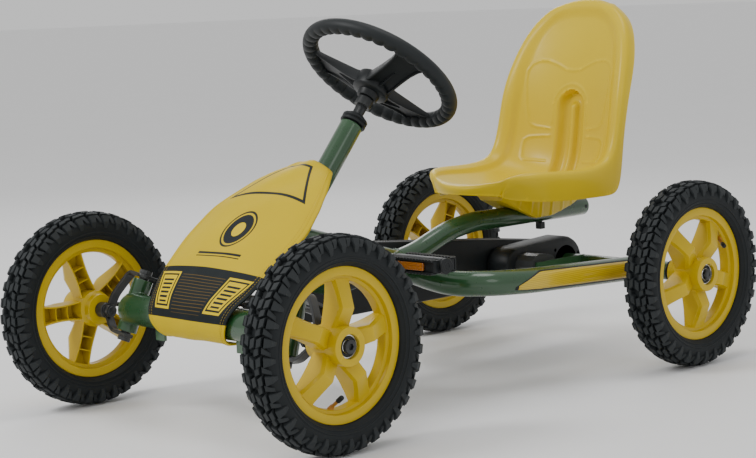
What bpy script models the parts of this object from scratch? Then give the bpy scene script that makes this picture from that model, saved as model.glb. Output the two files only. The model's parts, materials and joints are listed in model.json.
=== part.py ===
"""Pedal go kart for a child: a welded tube frame, a swinging front beam, four spoked wheels,
a chain drive to the rear axle and a bucket seat that slides along its tube.

Metres, +Z up. The kart faces -Y and its left side is +X. The origin lies on the ground,
midway between the axles.
"""

import math

import bmesh
import bpy
from mathutils import Matrix, Vector

GAP = 0.0003  # left between pieces that touch
MERGE = 0.00001

# Wheels
HALF_BASE = 0.4146
FRONT_HALF_TRACK = 0.3015
REAR_HALF_TRACK = 0.307
TYRE_RADIUS = 0.160
TYRE_HALF_WIDTH = 0.029
TYRE_SIDES = 24
RIM_RADIUS = 0.1137
RIM_SIDES = 20
HUB_RADIUS = 0.029
HUB_OUT = 0.0335
HUB_IN = -0.0355
BEARING_RADIUS = 0.0175
BEARING_SEAT = 0.0185  # distance from the wheel's middle plane to the bearing's inner face
BEARING_WIDTH = 0.010
SPINDLE_RADIUS = 0.0075
SPOKES = 5

# Frame tubes
MAIN_RADIUS = 0.0195
MAIN_REAR = Vector((0, 0.030, 0.200))
MAIN_FRONT = Vector((0, -0.225, 0.276))
HEAD_RADIUS = 0.019
DOWN_RADIUS = 0.0155
SEAT_TUBE_RADIUS = 0.0175
SEAT_TUBE_Z = 0.2545
SEAT_TUBE_END = 0.490
SIDE_RADIUS = 0.021
HOUSING_RADIUS = 0.016
HOUSING_END = 0.262
WALL = 0.0025

# Steering
WHEEL_CENTRE = Vector((0, -0.0179, 0.5239))
COLUMN_TILT = math.radians(49.7)
COLUMN = Vector((0, math.cos(COLUMN_TILT), math.sin(COLUMN_TILT)))
SHAFT_RADIUS = 0.0095
HEAD_TOP = -0.106  # along the column from the steering wheel's centre
HEAD_BOTTOM = -0.352
SHAFT_END = -0.405
PITMAN_LENGTH = 0.038
PITMAN_HALF_SPREAD = 0.014
GRIP_RING_RADIUS = 0.128
GRIP_RADIUS = 0.0135

# Front beam and knuckles
BEAM_RADIUS = 0.025
BEAM_Z = 0.168
BEAM_HALF_LENGTH = 0.186
KINGPIN = Vector((0.192, -0.4004, 0.171))
KINGPIN_LEAN = Vector((-0.118, 0.365, 0.924)).normalized()
KINGPIN_HALF = 0.0435
KINGPIN_RADIUS = 0.008
KINGPIN_HOUSING_RADIUS = 0.0165
STRAP_WIDTH = 0.024
EAR_LEVEL = 0.0495
STRAP = 0.006
ARM_END = (-0.020, 0.072)  # outwards and rearwards from the kingpin

# Crank, chain and pedals
CRANK_Y = -0.150
CRANK_Z = 0.188
CRANK_LENGTH = 0.088
CRANK_ANGLE = math.radians(23)  # of the left pedal, above straight back
CHAIN_X = -0.048
CHAIN_PITCH = 0.0127
FRONT_TEETH = 24
REAR_TEETH = 14
PEDAL_IN = 0.0805
PEDAL_OUT = 0.1925

GREEN = ((0.035, 0.110, 0.038), 0.28, 0.0)
YELLOW = ((0.90, 0.64, 0.035), 0.38, 0.0)
RIM_YELLOW = ((0.78, 0.52, 0.035), 0.42, 0.0)
BLACK = ((0.018, 0.020, 0.022), 0.5, 0.0)
RUBBER = ((0.022, 0.026, 0.028), 0.85, 0.0)
STEEL = ((0.62, 0.62, 0.60), 0.3, 1.0)
BLACK_STEEL = ((0.03, 0.03, 0.032), 0.35, 0.6)
ORANGE = ((0.80, 0.24, 0.02), 0.25, 0.0)
FABRIC = ((0.88, 0.68, 0.05), 0.8, 0.0)

for old in list(bpy.data.objects):
    bpy.data.objects.remove(old, do_unlink=True)

parts = bpy.data.collections.new("pedal_go_kart")
tools = bpy.data.collections.new("cutters")
bpy.context.scene.collection.children.link(parts)
bpy.context.scene.collection.children.link(tools)


def finish(name, look):
    """The named material of a part: its colour, roughness and metallic value."""
    colour, roughness, metallic = look
    made = bpy.data.materials.new(name)
    made.use_nodes = True
    shader = made.node_tree.nodes["Principled BSDF"]
    shader.inputs["Base Color"].default_value = (*colour, 1)
    shader.inputs["Roughness"].default_value = roughness
    shader.inputs["Metallic"].default_value = metallic
    return made


def placed(origin, z_axis, x_axis):
    """A matrix with its local Z along z_axis and its local X as near x_axis as it can be."""
    z = Vector(z_axis).normalized()
    x = Vector(x_axis)
    x = (x - x.dot(z) * z).normalized()
    matrix = Matrix((x, z.cross(x), z)).transposed().to_4x4()
    matrix.translation = Vector(origin)
    return matrix


def tool(data, matrix=None):
    """A new object in the cutters' collection."""
    made = bpy.data.objects.new("tool", data)
    tools.objects.link(made)
    made.hide_render = True
    made.display_type = "WIRE"
    if matrix is not None:
        made.matrix_world = matrix
    return made


def baked(shape):
    """The shape with its modifiers applied, as a plain closed mesh object."""
    bpy.context.view_layer.update()
    graph = bpy.context.evaluated_depsgraph_get()
    mesh = bpy.data.meshes.new_from_object(shape.evaluated_get(graph))
    cage = bmesh.new()
    cage.from_mesh(mesh)
    bmesh.ops.remove_doubles(cage, verts=cage.verts, dist=MERGE)
    bmesh.ops.recalc_face_normals(cage, faces=cage.faces)
    cage.to_mesh(mesh)
    cage.free()
    matrix = shape.matrix_world.copy()
    bpy.data.objects.remove(shape, do_unlink=True)
    return tool(mesh, matrix)


def combined(shape, others, operation):
    for other in others:
        change = shape.modifiers.new(operation, "BOOLEAN")
        change.operation = operation
        change.solver = "EXACT"
        change.object = other
    shape = baked(shape)
    for other in others:
        bpy.data.objects.remove(other, do_unlink=True)
    return shape


def joined(shape, *others):
    return combined(shape, others, "UNION")


def cut(shape, *others):
    return combined(shape, others, "DIFFERENCE")


def turned(profile, steps, matrix=None, phase=0.0):
    """A profile of (radius, height) points turned about local Z; one off the axis is a ring."""
    mesh = bpy.data.meshes.new("profile")
    corners = [(r * math.cos(phase), r * math.sin(phase), z) for r, z in profile]
    edges = [(i, i + 1) for i in range(len(corners) - 1)]
    if profile[0][0] > MERGE:
        edges.append((len(corners) - 1, 0))
    mesh.from_pydata(corners, edges, [])
    made = tool(mesh, matrix)
    screw = made.modifiers.new("turn", "SCREW")
    screw.steps = steps
    screw.render_steps = steps
    screw.use_merge_vertices = True
    screw.merge_threshold = MERGE
    return baked(made)


def rod(start, end, radius, sides):
    """A solid round bar between two points."""
    start = Vector(start)
    run = Vector(end) - start
    side = (1, 0, 0) if abs(run.x) < 0.7 * run.length else (0, 0, 1)
    profile = [(0, run.length), (radius, run.length), (radius, 0), (0, 0)]
    return turned(profile, sides, placed(start, run, side))


def tube(points, radius, wall=0.0, detail=4, bends=0):
    """A tube along the points; bends is the number of steps between points of a smooth curve."""
    curve = bpy.data.curves.new("path", "CURVE")
    curve.dimensions = "3D"
    curve.bevel_depth = radius
    curve.bevel_resolution = detail
    curve.use_fill_caps = wall == 0.0
    if bends:
        spline = curve.splines.new("BEZIER")
        curve.resolution_u = bends
        spline.bezier_points.add(len(points) - 1)
        for knot, point in zip(spline.bezier_points, points):
            knot.co = point
            knot.handle_left_type = "AUTO"
            knot.handle_right_type = "AUTO"
    else:
        spline = curve.splines.new("POLY")
        spline.points.add(len(points) - 1)
        for knot, point in zip(spline.points, points):
            knot.co = (*point, 1)
    made = baked(tool(curve))
    if wall:
        skin = made.modifiers.new("wall", "SOLIDIFY")
        skin.thickness = wall
        skin.offset = -1
        skin.use_even_offset = True
        made = baked(made)
    return made


def plate(outlines, thickness, matrix=None):
    """A flat piece from outlines in its local XY plane; inner outlines are holes."""
    curve = bpy.data.curves.new("outline", "CURVE")
    curve.dimensions = "2D"
    curve.fill_mode = "BOTH"
    curve.extrude = thickness / 2
    for outline in outlines:
        spline = curve.splines.new("POLY")
        spline.points.add(len(outline) - 1)
        spline.use_cyclic_u = True
        for knot, (x, y) in zip(spline.points, outline):
            knot.co = (x, y, 0, 1)
    return baked(tool(curve, matrix))


def block(low, high, matrix=None):
    """A box between two corners."""
    mesh = bpy.data.meshes.new("block")
    cage = bmesh.new()
    bmesh.ops.create_cube(cage, size=1)
    low, high = Vector(low), Vector(high)
    for corner in cage.verts:
        share = corner.co + Vector((0.5, 0.5, 0.5))
        corner.co = [low[i] + (high[i] - low[i]) * share[i] for i in range(3)]
    cage.to_mesh(mesh)
    cage.free()
    return tool(mesh, matrix)


def tapered(near, far, matrix=None):
    """A bar along local X between two ends, each (x, half width, bottom, top)."""
    mesh = bpy.data.meshes.new("bar")
    cage = bmesh.new()
    bmesh.ops.create_cube(cage, size=1)
    for corner in cage.verts:
        x, half, bottom, top = far if corner.co.x > 0 else near
        corner.co = (x, math.copysign(half, corner.co.y), top if corner.co.z > 0 else bottom)
    cage.to_mesh(mesh)
    cage.free()
    return tool(mesh, matrix)


def shell(rows, thickness):
    """A skin over a grid of points, thickened to its inner side."""
    mesh = bpy.data.meshes.new("skin")
    cage = bmesh.new()
    grid = [[cage.verts.new(point) for point in row] for row in rows]
    for upper, lower in zip(grid, grid[1:]):
        for i in range(len(upper) - 1):
            cage.faces.new((upper[i], upper[i + 1], lower[i + 1], lower[i]))
    cage.to_mesh(mesh)
    cage.free()
    made = tool(mesh)
    skin = made.modifiers.new("wall", "SOLIDIFY")
    skin.thickness = thickness
    skin.offset = -1
    return baked(made)


def belt(circles, per_circle=14):
    """The outline of a belt round circles (x, y, radius): the convex hull of points on them."""
    points = []
    for x, y, radius in circles:
        for i in range(per_circle):
            turn = 2 * math.pi * i / per_circle
            points.append((x + radius * math.cos(turn), y + radius * math.sin(turn)))
    points.sort()
    halves = []
    for ordered in (points, points[::-1]):
        half = []
        for x, y in ordered:
            while len(half) > 1:
                (ax, ay), (bx, by) = half[-2:]
                if (bx - ax) * (y - ay) - (by - ay) * (x - ax) > 1e-12:
                    break
                half.pop()
            half.append((x, y))
        halves.append(half[:-1])
    return halves[0] + halves[1]


def strap_outline(points, thickness):
    """The outline of a bent strip of this thickness whose middle runs through the points."""
    points = [Vector(p) for p in points]
    left, right = [], []
    for i, point in enumerate(points):
        before = (point - points[i - 1]).normalized() if i else None
        after = (points[i + 1] - point).normalized() if i + 1 < len(points) else None
        before = before or after
        after = after or before
        normal = Vector((-(before + after).y, (before + after).x)).normalized()
        reach = thickness / 2 / max(0.3, normal.dot(Vector((-after.y, after.x))))
        left.append(tuple(point + normal * reach))
        right.append(tuple(point - normal * reach))
    return left + right[::-1]


def nut_solid(middle, axis, radius, bore, height):
    """A hexagon nut with a round hole."""
    outlines = []
    for corners, size in ((6, radius), (12, bore * 1.04)):
        turns = [2 * math.pi * i / corners for i in range(corners)]
        outlines.append([(size * math.cos(turn), size * math.sin(turn)) for turn in turns])
    return plate(outlines, height, placed(middle, axis, (0, 0, 1)))


def part(name, shape, look, origin=None, parent=None):
    """Names a finished shape, gives it its material and puts its origin where it turns."""
    shape.name = name
    shape.data.name = name
    tools.objects.unlink(shape)
    parts.objects.link(shape)
    shape.hide_render = False
    shape.display_type = "TEXTURED"
    if origin is not None:
        here = Matrix.Translation(origin)
        shape.data.transform(here.inverted() @ shape.matrix_world)
        shape.matrix_world = here
    shape.data.materials.clear()
    shape.data.materials.append(finish(name, look))
    shape.data.shade_smooth()
    shape.data.set_sharp_from_angle(angle=math.radians(35))
    if parent is not None:
        bpy.context.view_layer.update()
        shape.parent = parent
        shape.matrix_parent_inverse = parent.matrix_world.inverted()
    return shape


def pivot(name, origin, parent=None):
    """An empty on a joint's axis."""
    made = bpy.data.objects.new(name, None)
    parts.objects.link(made)
    made.location = origin
    bpy.context.view_layer.update()
    if parent is not None:
        made.parent = parent
        made.matrix_parent_inverse = parent.matrix_world.inverted()
        bpy.context.view_layer.update()
    return made


SIDES = (("left", 1), ("right", -1))
COLUMN_FRAME = placed(WHEEL_CENTRE, COLUMN, (1, 0, 0))
REAR_AXLE = Vector((0, HALF_BASE, TYRE_RADIUS))
CRANK_AXIS = Vector((0, CRANK_Y, CRANK_Z))
SIDE_VIEW = placed((0, 0, 0), (1, 0, 0), (0, 1, 0))  # local X is +Y, local Y is +Z


def side_path(side):
    """The middle of a side tube, from the main tube to the rear axle housing."""
    points = (
        (0.004, -0.0095, 0.2052),
        (0.122, 0.008, 0.181),
        (0.170, 0.040, 0.179),
        (0.190, 0.100, 0.176),
        (0.196, 0.206, 0.1715),
        (0.198, HALF_BASE - 0.006, 0.163),
    )
    return [(side * x, y, z) for x, y, z in points]


def main_solid(extra):
    return tube((MAIN_REAR, MAIN_FRONT), MAIN_RADIUS + extra, detail=5)


def housing_solid(extra):
    return rod((-HOUSING_END, *REAR_AXLE.yz), (HOUSING_END, *REAR_AXLE.yz), HOUSING_RADIUS + extra, 20)


def column_tool(extra):
    start = WHEEL_CENTRE + COLUMN * (HEAD_BOTTOM - 0.05)
    return rod(start, WHEEL_CENTRE + COLUMN * (HEAD_TOP + 0.03), HEAD_RADIUS + extra, 24)


def make_frame():
    crank_shell = (0.0165, 0.030)

    main = tube((MAIN_REAR, MAIN_FRONT), MAIN_RADIUS, WALL, detail=5)
    run = (MAIN_REAR - MAIN_FRONT).normalized()
    cap = rod(MAIN_REAR - run * 0.004, MAIN_REAR, MAIN_RADIUS - 0.0002, 14)
    main = joined(main, cap)
    part("main_tube", cut(main, column_tool(GAP)), GREEN)

    head = turned(
        [
            (HEAD_RADIUS, HEAD_TOP),
            (HEAD_RADIUS, HEAD_BOTTOM),
            (HEAD_RADIUS - WALL, HEAD_BOTTOM),
            (HEAD_RADIUS - WALL, HEAD_TOP),
        ],
        20,
        COLUMN_FRAME,
    )
    part("head_tube", head, GREEN)

    down_path = (
        (0, -0.147, 0.371),
        (0, -0.205, 0.360),
        (0, -0.280, 0.303),
        (0, -0.345, 0.230),
        (0, -0.3715, 0.145),
    )
    down = tube(down_path, DOWN_RADIUS, WALL, detail=4, bends=2)
    bolt_hole = rod((0, -0.42, BEAM_Z), (0, -0.33, BEAM_Z), 0.0063, 12)
    part("front_down_tube", cut(down, column_tool(GAP), bolt_hole), GREEN)

    seat_path = (
        (0, -0.002, 0.2080),
        (0, 0.050, 0.2185),
        (0, 0.130, 0.2445),
        (0, 0.195, SEAT_TUBE_Z),
        (0, 0.235, SEAT_TUBE_Z),
        (0, SEAT_TUBE_END, SEAT_TUBE_Z),
    )
    seat_tube = tube(seat_path, SEAT_TUBE_RADIUS, WALL, detail=4, bends=2)
    slot = block((-0.0045, 0.315, 0.22), (0.0045, 0.430, 0.29))
    part("seat_tube", cut(seat_tube, main_solid(GAP), slot), GREEN)

    for word, side in SIDES:
        bar = tube(side_path(side), SIDE_RADIUS, WALL, detail=4, bends=2)
        beyond = sorted((-side * 0.2, side * GAP))
        other_half = block((beyond[0], -0.1, 0.1), (beyond[1], 0.1, 0.3))
        main_tool = main_solid(GAP)
        seat_tool = tube(seat_path[:3], SEAT_TUBE_RADIUS + 0.001, detail=4)
        bar = cut(bar, main_tool, seat_tool, housing_solid(GAP), other_half)
        part(f"side_tube_{word}", bar, GREEN)

    for word, side, inner in (("left", 1, 0.024), ("right", -1, 0.067)):
        ring = turned(
            [
                (HOUSING_RADIUS, HOUSING_END),
                (HOUSING_RADIUS, inner),
                (HOUSING_RADIUS - WALL, inner),
                (HOUSING_RADIUS - WALL, HOUSING_END),
            ],
            20,
            placed(REAR_AXLE, (side, 0, 0), (0, 0, 1)),
        )
        part(f"axle_housing_{word}", ring, GREEN)
        bush = turned(
            [
                (HOUSING_RADIUS + 0.003, HOUSING_END + 0.004),
                (HOUSING_RADIUS + 0.003, HOUSING_END + GAP),
                (HOUSING_RADIUS - WALL - GAP, HOUSING_END + GAP),
                (HOUSING_RADIUS - WALL - GAP, HOUSING_END - 0.020),
                (0.0103, HOUSING_END - 0.020),
                (0.0103, HOUSING_END + 0.004),
            ],
            16,
            placed(REAR_AXLE, (side, 0, 0), (0, 0, 1)),
        )
        part(f"axle_bush_{word}", bush, BLACK)

    arm = block((0.0625, 0.285, 0.1595), (0.0675, HALF_BASE, 0.1765))
    part("torque_arm", cut(arm, housing_solid(GAP)), GREEN)
    outline = belt([(0.298, 0.168, 0.022), (0.322, 0.168, 0.019)], 12)
    bracket = plate([outline], 0.040, placed((0.0222, 0, 0), (1, 0, 0), (0, 1, 0)))
    bracket.data.transform(Matrix.Translation((0, 0, 0.020)))
    part("hub_bracket", bracket, BLACK)

    radius, half = crank_shell
    housing = turned(
        [(radius, half), (radius, -half), (radius - 0.003, -half), (radius - 0.003, half)],
        18,
        placed(CRANK_AXIS, (1, 0, 0), (0, 0, 1)),
    )
    web = block((-0.006, CRANK_Y - 0.026, CRANK_Z + 0.0145), (0.006, CRANK_Y + 0.026, 0.275))
    web = cut(web, main_solid(GAP), block((-0.03, -0.3, 0.252), (0.03, 0.1, 0.3)))
    part("crank_housing", joined(housing, web), GREEN)


def make_column():
    """The bushes of the column, and what turns with the steering wheel."""
    upper = turned(
        [
            (0.022, HEAD_TOP + 0.018),
            (0.022, HEAD_TOP + 0.0005),
            (HEAD_RADIUS - WALL - GAP, HEAD_TOP + 0.0005),
            (HEAD_RADIUS - WALL - GAP, HEAD_TOP - 0.020),
            (SHAFT_RADIUS + GAP, HEAD_TOP - 0.020),
            (SHAFT_RADIUS + GAP, HEAD_TOP + 0.018),
        ],
        18,
        COLUMN_FRAME,
    )
    part("upper_steering_bush", upper, BLACK)
    lower = turned(
        [
            (HEAD_RADIUS - WALL - GAP, HEAD_BOTTOM + 0.020),
            (HEAD_RADIUS - WALL - GAP, HEAD_BOTTOM - 0.0005),
            (0.0205, HEAD_BOTTOM - 0.0005),
            (0.0205, HEAD_BOTTOM - 0.008),
            (SHAFT_RADIUS + GAP, HEAD_BOTTOM - 0.008),
            (SHAFT_RADIUS + GAP, HEAD_BOTTOM + 0.020),
        ],
        18,
        COLUMN_FRAME,
    )
    part("lower_steering_bush", lower, BLACK)

    section = 8
    ring = turned(
        [
            (
                GRIP_RING_RADIUS + GRIP_RADIUS * math.cos(2 * math.pi * i / section),
                -GRIP_RADIUS * math.sin(2 * math.pi * i / section),
            )
            for i in range(section)
        ],
        26,
        COLUMN_FRAME,
    )
    hub = turned(
        [(0, -0.010), (0.024, -0.010), (0.027, -0.022), (0.020, -0.050), (0, -0.050)],
        14,
        COLUMN_FRAME,
    )
    spokes = []
    for turn in (30, 150, 270):
        across = COLUMN_FRAME @ Matrix.Rotation(math.radians(-turn), 4, "Z")
        spokes.append(tapered((0.010, 0.017, -0.026, -0.016), (0.122, 0.012, -0.006, 0.003), across))
    wheel = part("steering_wheel", joined(ring, hub, *spokes), BLACK, WHEEL_CENTRE)

    top = WHEEL_CENTRE + COLUMN * (-0.050 - GAP)
    shaft = rod(top, WHEEL_CENTRE + COLUMN * SHAFT_END, SHAFT_RADIUS, 14)
    part("steering_shaft", shaft, BLACK_STEEL, WHEEL_CENTRE, wheel)
    outline = belt(
        [
            (0, 0, 0.013),
            (PITMAN_HALF_SPREAD, PITMAN_LENGTH, 0.009),
            (-PITMAN_HALF_SPREAD, PITMAN_LENGTH, 0.009),
        ],
        10,
    )
    level = WHEEL_CENTRE + COLUMN * (SHAFT_END - GAP - STRAP / 2)
    arm = plate([outline], STRAP, placed(level, COLUMN, (1, 0, 0)))
    part("pitman_arm", arm, BLACK_STEEL, WHEEL_CENTRE, wheel)


def knuckle_axes(side):
    """The kingpin's centre, and the directions outwards, rearwards and up along it."""
    up = Vector((side * KINGPIN_LEAN.x, KINGPIN_LEAN.y, KINGPIN_LEAN.z))
    rear = -Vector((1, 0, 0)).cross(up).normalized()
    out = side * rear.cross(up)
    centre = Vector((side * KINGPIN.x, KINGPIN.y, KINGPIN.z))
    return centre, out, rear, up


def make_beam():
    """The front beam with its kingpin housings; it swings about the lengthwise bolt."""
    swing = pivot("axle_swing_axis", (0, -HALF_BASE, BEAM_Z))
    ends = [Vector((side * BEAM_HALF_LENGTH, -HALF_BASE, BEAM_Z)) for _, side in SIDES]
    beam = rod(ends[0], ends[1], BEAM_RADIUS, 18)
    housings, bores = [], []
    for _, side in SIDES:
        centre, _, _, up = knuckle_axes(side)
        low, high = centre - up * KINGPIN_HALF, centre + up * KINGPIN_HALF
        housings.append(rod(low, high, KINGPIN_HOUSING_RADIUS, 16))
        bores.append(rod(centre - up * 0.06, centre + up * 0.06, KINGPIN_RADIUS + GAP, 12))
    tabs = [
        block((side * 0.100 - 0.011, -0.422, 0.126), (side * 0.100 + 0.011, -0.417, 0.150))
        for _, side in SIDES
    ]
    bolt_hole = rod((0, -0.47, BEAM_Z), (0, -0.36, BEAM_Z), 0.0063, 12)
    beam = cut(joined(beam, *housings, *tabs), bolt_hole, *bores)
    part("front_beam", beam, GREEN, swing.location, swing)
    return swing


def make_swing_bolt():
    head = 0.0095
    profile = [
        (0, 0.0595),
        (head, 0.0595),
        (head, 0.0535),
        (0.006, 0.0535),
        (0.006, -0.0440),
        (head, -0.0440),
        (head, -0.0475),
        (0, -0.0475),
    ]
    bolt = turned(profile, 12, placed((0, -0.3965, BEAM_Z), (0, 1, 0), (1, 0, 0)))
    part("swing_bolt", bolt, STEEL)


def tyre_mesh():
    """A hollow tyre, open at its bead, with a facet of the crown flat on the ground."""
    grow = 1 / math.cos(math.pi / TYRE_SIDES)
    half = [
        (TYRE_RADIUS, 0.011),
        (0.1545, 0.0235),
        (0.141, TYRE_HALF_WIDTH),
        (RIM_RADIUS + 0.0008, 0.0185),
        (RIM_RADIUS + 0.0008, 0.0120),
        (0.1400, 0.0215),
        (0.1520, 0.0100),
    ]
    outer, inner = half[:4], half[4:]
    profile = [(r, -z) for r, z in outer[::-1]] + outer + inner + [(r, -z) for r, z in inner[::-1]]
    profile = [(r * grow, -z) for r, z in profile]
    made = turned(profile, TYRE_SIDES, phase=math.pi / TYRE_SIDES)
    return made


def rim_mesh():
    """A moulded wheel: a channel for the tyre, five hollow spokes and a hub with a bearing seat."""
    ring = turned(
        [
            (RIM_RADIUS, 0.0160),
            (RIM_RADIUS, 0.0125),
            (0.0975, 0.0100),
            (0.0975, -0.0100),
            (RIM_RADIUS, -0.0125),
            (RIM_RADIUS, -0.0160),
            (0.0985, -0.0160),
            (0.0905, -0.0115),
            (0.0905, 0.0115),
            (0.0985, 0.0160),
        ],
        RIM_SIDES,
    )
    hub = turned([(0, HUB_OUT), (HUB_RADIUS, HUB_OUT), (HUB_RADIUS, HUB_IN), (0, HUB_IN)], 15)
    bars, channels = [], []
    for i in range(SPOKES):
        turn = Matrix.Rotation(2 * math.pi * i / SPOKES, 4, "Z")
        bars.append(tapered((0.018, 0.0115, -0.014, 0.0275), (0.0950, 0.0115, -0.0105, 0.0120), turn))
        channels.append(tapered((0.034, 0.0080, -0.03, 0.0185), (0.0880, 0.0080, -0.03, 0.0095), turn))
    bore = turned([(0, 0.06), (0.0115, 0.06), (0.0115, -0.06), (0, -0.06)], 10)
    recess = BEARING_RADIUS + 0.0010
    seat = turned(
        [(0, 0.06), (recess, 0.06), (recess, BEARING_SEAT), (0, BEARING_SEAT)],
        12,
    )
    return cut(joined(ring, hub, *bars), *channels, bore, seat)


def bearing_mesh():
    low = BEARING_SEAT + GAP
    high = low + BEARING_WIDTH
    bore = SPINDLE_RADIUS + GAP
    return turned([(BEARING_RADIUS, high), (BEARING_RADIUS, low), (bore, low), (bore, high)], 14)


def make_wheel(place, side, centre, twist, patterns, parent):
    """One wheel's tyre, rim and bearing, sharing the meshes of the first ones."""
    matrix = placed(centre, (side, 0, 0), (0, 0, 1))
    for kind, look in (("tyre", RUBBER), ("rim", RIM_YELLOW), ("bearing", STEEL)):
        turn = Matrix.Rotation(math.radians(twist if kind == "rim" else 0), 4, "Z")
        copy = tool(patterns[kind].data.copy(), matrix @ turn)
        part(f"{kind}_{place}", copy, look, None, parent)


def make_knuckle(word, side, swing, patterns):
    """A strap knuckle on its kingpin, with the steering arm, the spindle and the front wheel."""
    centre, out, rear, up = knuckle_axes(side)
    turn = pivot(f"kingpin_axis_{word}", centre, swing)
    spindle = Vector((side * FRONT_HALF_TRACK, -HALF_BASE, TYRE_RADIUS))

    middle = (
        (-0.014, EAR_LEVEL),
        (0.038, EAR_LEVEL),
        (0.0575, 0.012),
        (0.0575, -0.036),
        (0.035, -EAR_LEVEL),
        (-0.014, -EAR_LEVEL),
    )
    across = Matrix((out, up, out.cross(up))).transposed().to_4x4()
    across.translation = centre - rear * 0.002
    strap = plate([strap_outline(middle, STRAP)], STRAP_WIDTH, across)
    flat = Matrix((out, side * rear, up)).transposed().to_4x4()
    flat.translation = centre + up * EAR_LEVEL
    arm_x, arm_y = ARM_END
    arm = plate([belt([(0, 0, 0.013), (arm_x, side * arm_y, 0.010)], 12)], 0.005, flat)
    boss = rod(spindle - Vector((side * 0.0525, 0, 0)), spindle + Vector((side * (HUB_IN - 0.0005), 0, 0)), 0.0125, 14)
    pin_hole = rod(centre - up * 0.07, centre + up * 0.07, KINGPIN_RADIUS + GAP, 12)
    low = spindle - Vector((side * 0.10, 0, 0))
    spindle_hole = rod(low, spindle, SPINDLE_RADIUS + GAP, 12)
    knuckle = cut(joined(strap, arm, boss), pin_hole, spindle_hole)
    part(f"knuckle_{word}", knuckle, BLACK_STEEL, centre, turn)

    head = 0.0529
    profile = [
        (0, head + 0.0065),
        (0.0105, head + 0.0065),
        (0.0105, head),
        (KINGPIN_RADIUS, head),
        (KINGPIN_RADIUS, -head),
        (0.0105, -head),
        (0.0105, -head - 0.0065),
        (0, -head - 0.0065),
    ]
    part(f"kingpin_{word}", turned(profile, 12, placed(centre, up, out)), STEEL, centre, turn)

    seat = BEARING_SEAT + GAP + BEARING_WIDTH + GAP
    profile = [
        (0, seat + 0.006),
        (0.0105, seat + 0.006),
        (0.0105, seat),
        (SPINDLE_RADIUS, seat),
        (SPINDLE_RADIUS, -0.0665),
        (0, -0.0665),
    ]
    outwards = placed(spindle, (side, 0, 0), (0, 0, 1))
    part(f"spindle_bolt_{word}", turned(profile, 12, outwards), BLACK_STEEL, centre, turn)
    middle = spindle - Vector((side * 0.0612, 0, 0))
    nut = nut_solid(middle, (side, 0, 0), 0.0110, SPINDLE_RADIUS + GAP, 0.0075)
    part(f"spindle_nut_{word}", nut, BLACK_STEEL, centre, turn)

    outer = centre + out * arm_x + rear * arm_y + up * (EAR_LEVEL - 0.0025 - GAP - 0.006)
    below = Matrix.Translation((side * PITMAN_HALF_SPREAD, PITMAN_LENGTH, SHAFT_END - GAP - STRAP - 0.009))
    inner = (COLUMN_FRAME @ below).translation
    link = rod(outer - up * 0.003, inner, 0.005, 10)
    outer_eye = rod(outer - up * 0.006, outer + up * 0.006, 0.009, 12)
    inner_eye = rod(inner - COLUMN * 0.005, inner + COLUMN * 0.005, 0.008, 12)
    part(f"tie_rod_{word}", joined(link, outer_eye, inner_eye), BLACK_STEEL, outer, turn)

    hub = pivot(f"front_wheel_axis_{word}", spindle, turn)
    make_wheel(f"front_{word}", side, spindle, 0 if side > 0 else 9, patterns, hub)


def make_rear_drive(patterns):
    """The rear axle with its sprocket and the driven right wheel, and the free left wheel."""
    axle = pivot("rear_axle_axis", REAR_AXLE)
    free = pivot("rear_wheel_axis_left", REAR_AXLE)
    along = placed(REAR_AXLE, (1, 0, 0), (0, 0, 1))
    seat = REAR_HALF_TRACK + BEARING_SEAT + GAP + BEARING_WIDTH + GAP
    step = REAR_HALF_TRACK + HUB_IN - 0.001
    tip = seat + 0.0062
    profile = [
        (0, tip),
        (SPINDLE_RADIUS, tip),
        (SPINDLE_RADIUS, step),
        (0.010, step),
        (0.010, -step),
        (SPINDLE_RADIUS, -step),
        (SPINDLE_RADIUS, -tip),
        (0, -tip),
    ]
    part("rear_axle", turned(profile, 14, along), STEEL, REAR_AXLE, axle)
    bore = 0.010 + GAP
    disc = REAR_TEETH * CHAIN_PITCH / (2 * math.pi) - 0.0023
    profile = [
        (0.036, 0.018),
        (0.036, -0.028),
        (0.0140, -0.028),
        (0.0140, CHAIN_X + 0.0015),
        (disc, CHAIN_X + 0.0015),
        (disc, CHAIN_X - 0.0015),
        (bore, CHAIN_X - 0.0015),
        (bore, 0.018),
    ]
    part("rear_sprocket", turned(profile, 18, along), STEEL, REAR_AXLE, axle)
    for word, side in SIDES:
        middle = REAR_AXLE + Vector((side * (seat + 0.0025), 0, 0))
        nut = nut_solid(middle, (side, 0, 0), 0.0105, SPINDLE_RADIUS + GAP, 0.005)
        part(f"axle_nut_{word}", nut, BLACK_STEEL, REAR_AXLE, axle)
        centre = REAR_AXLE + Vector((side * REAR_HALF_TRACK, 0, 0))
        hub = free if side > 0 else axle
        make_wheel(f"rear_{word}", side, centre, 180 if side > 0 else 20, patterns, hub)


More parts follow.
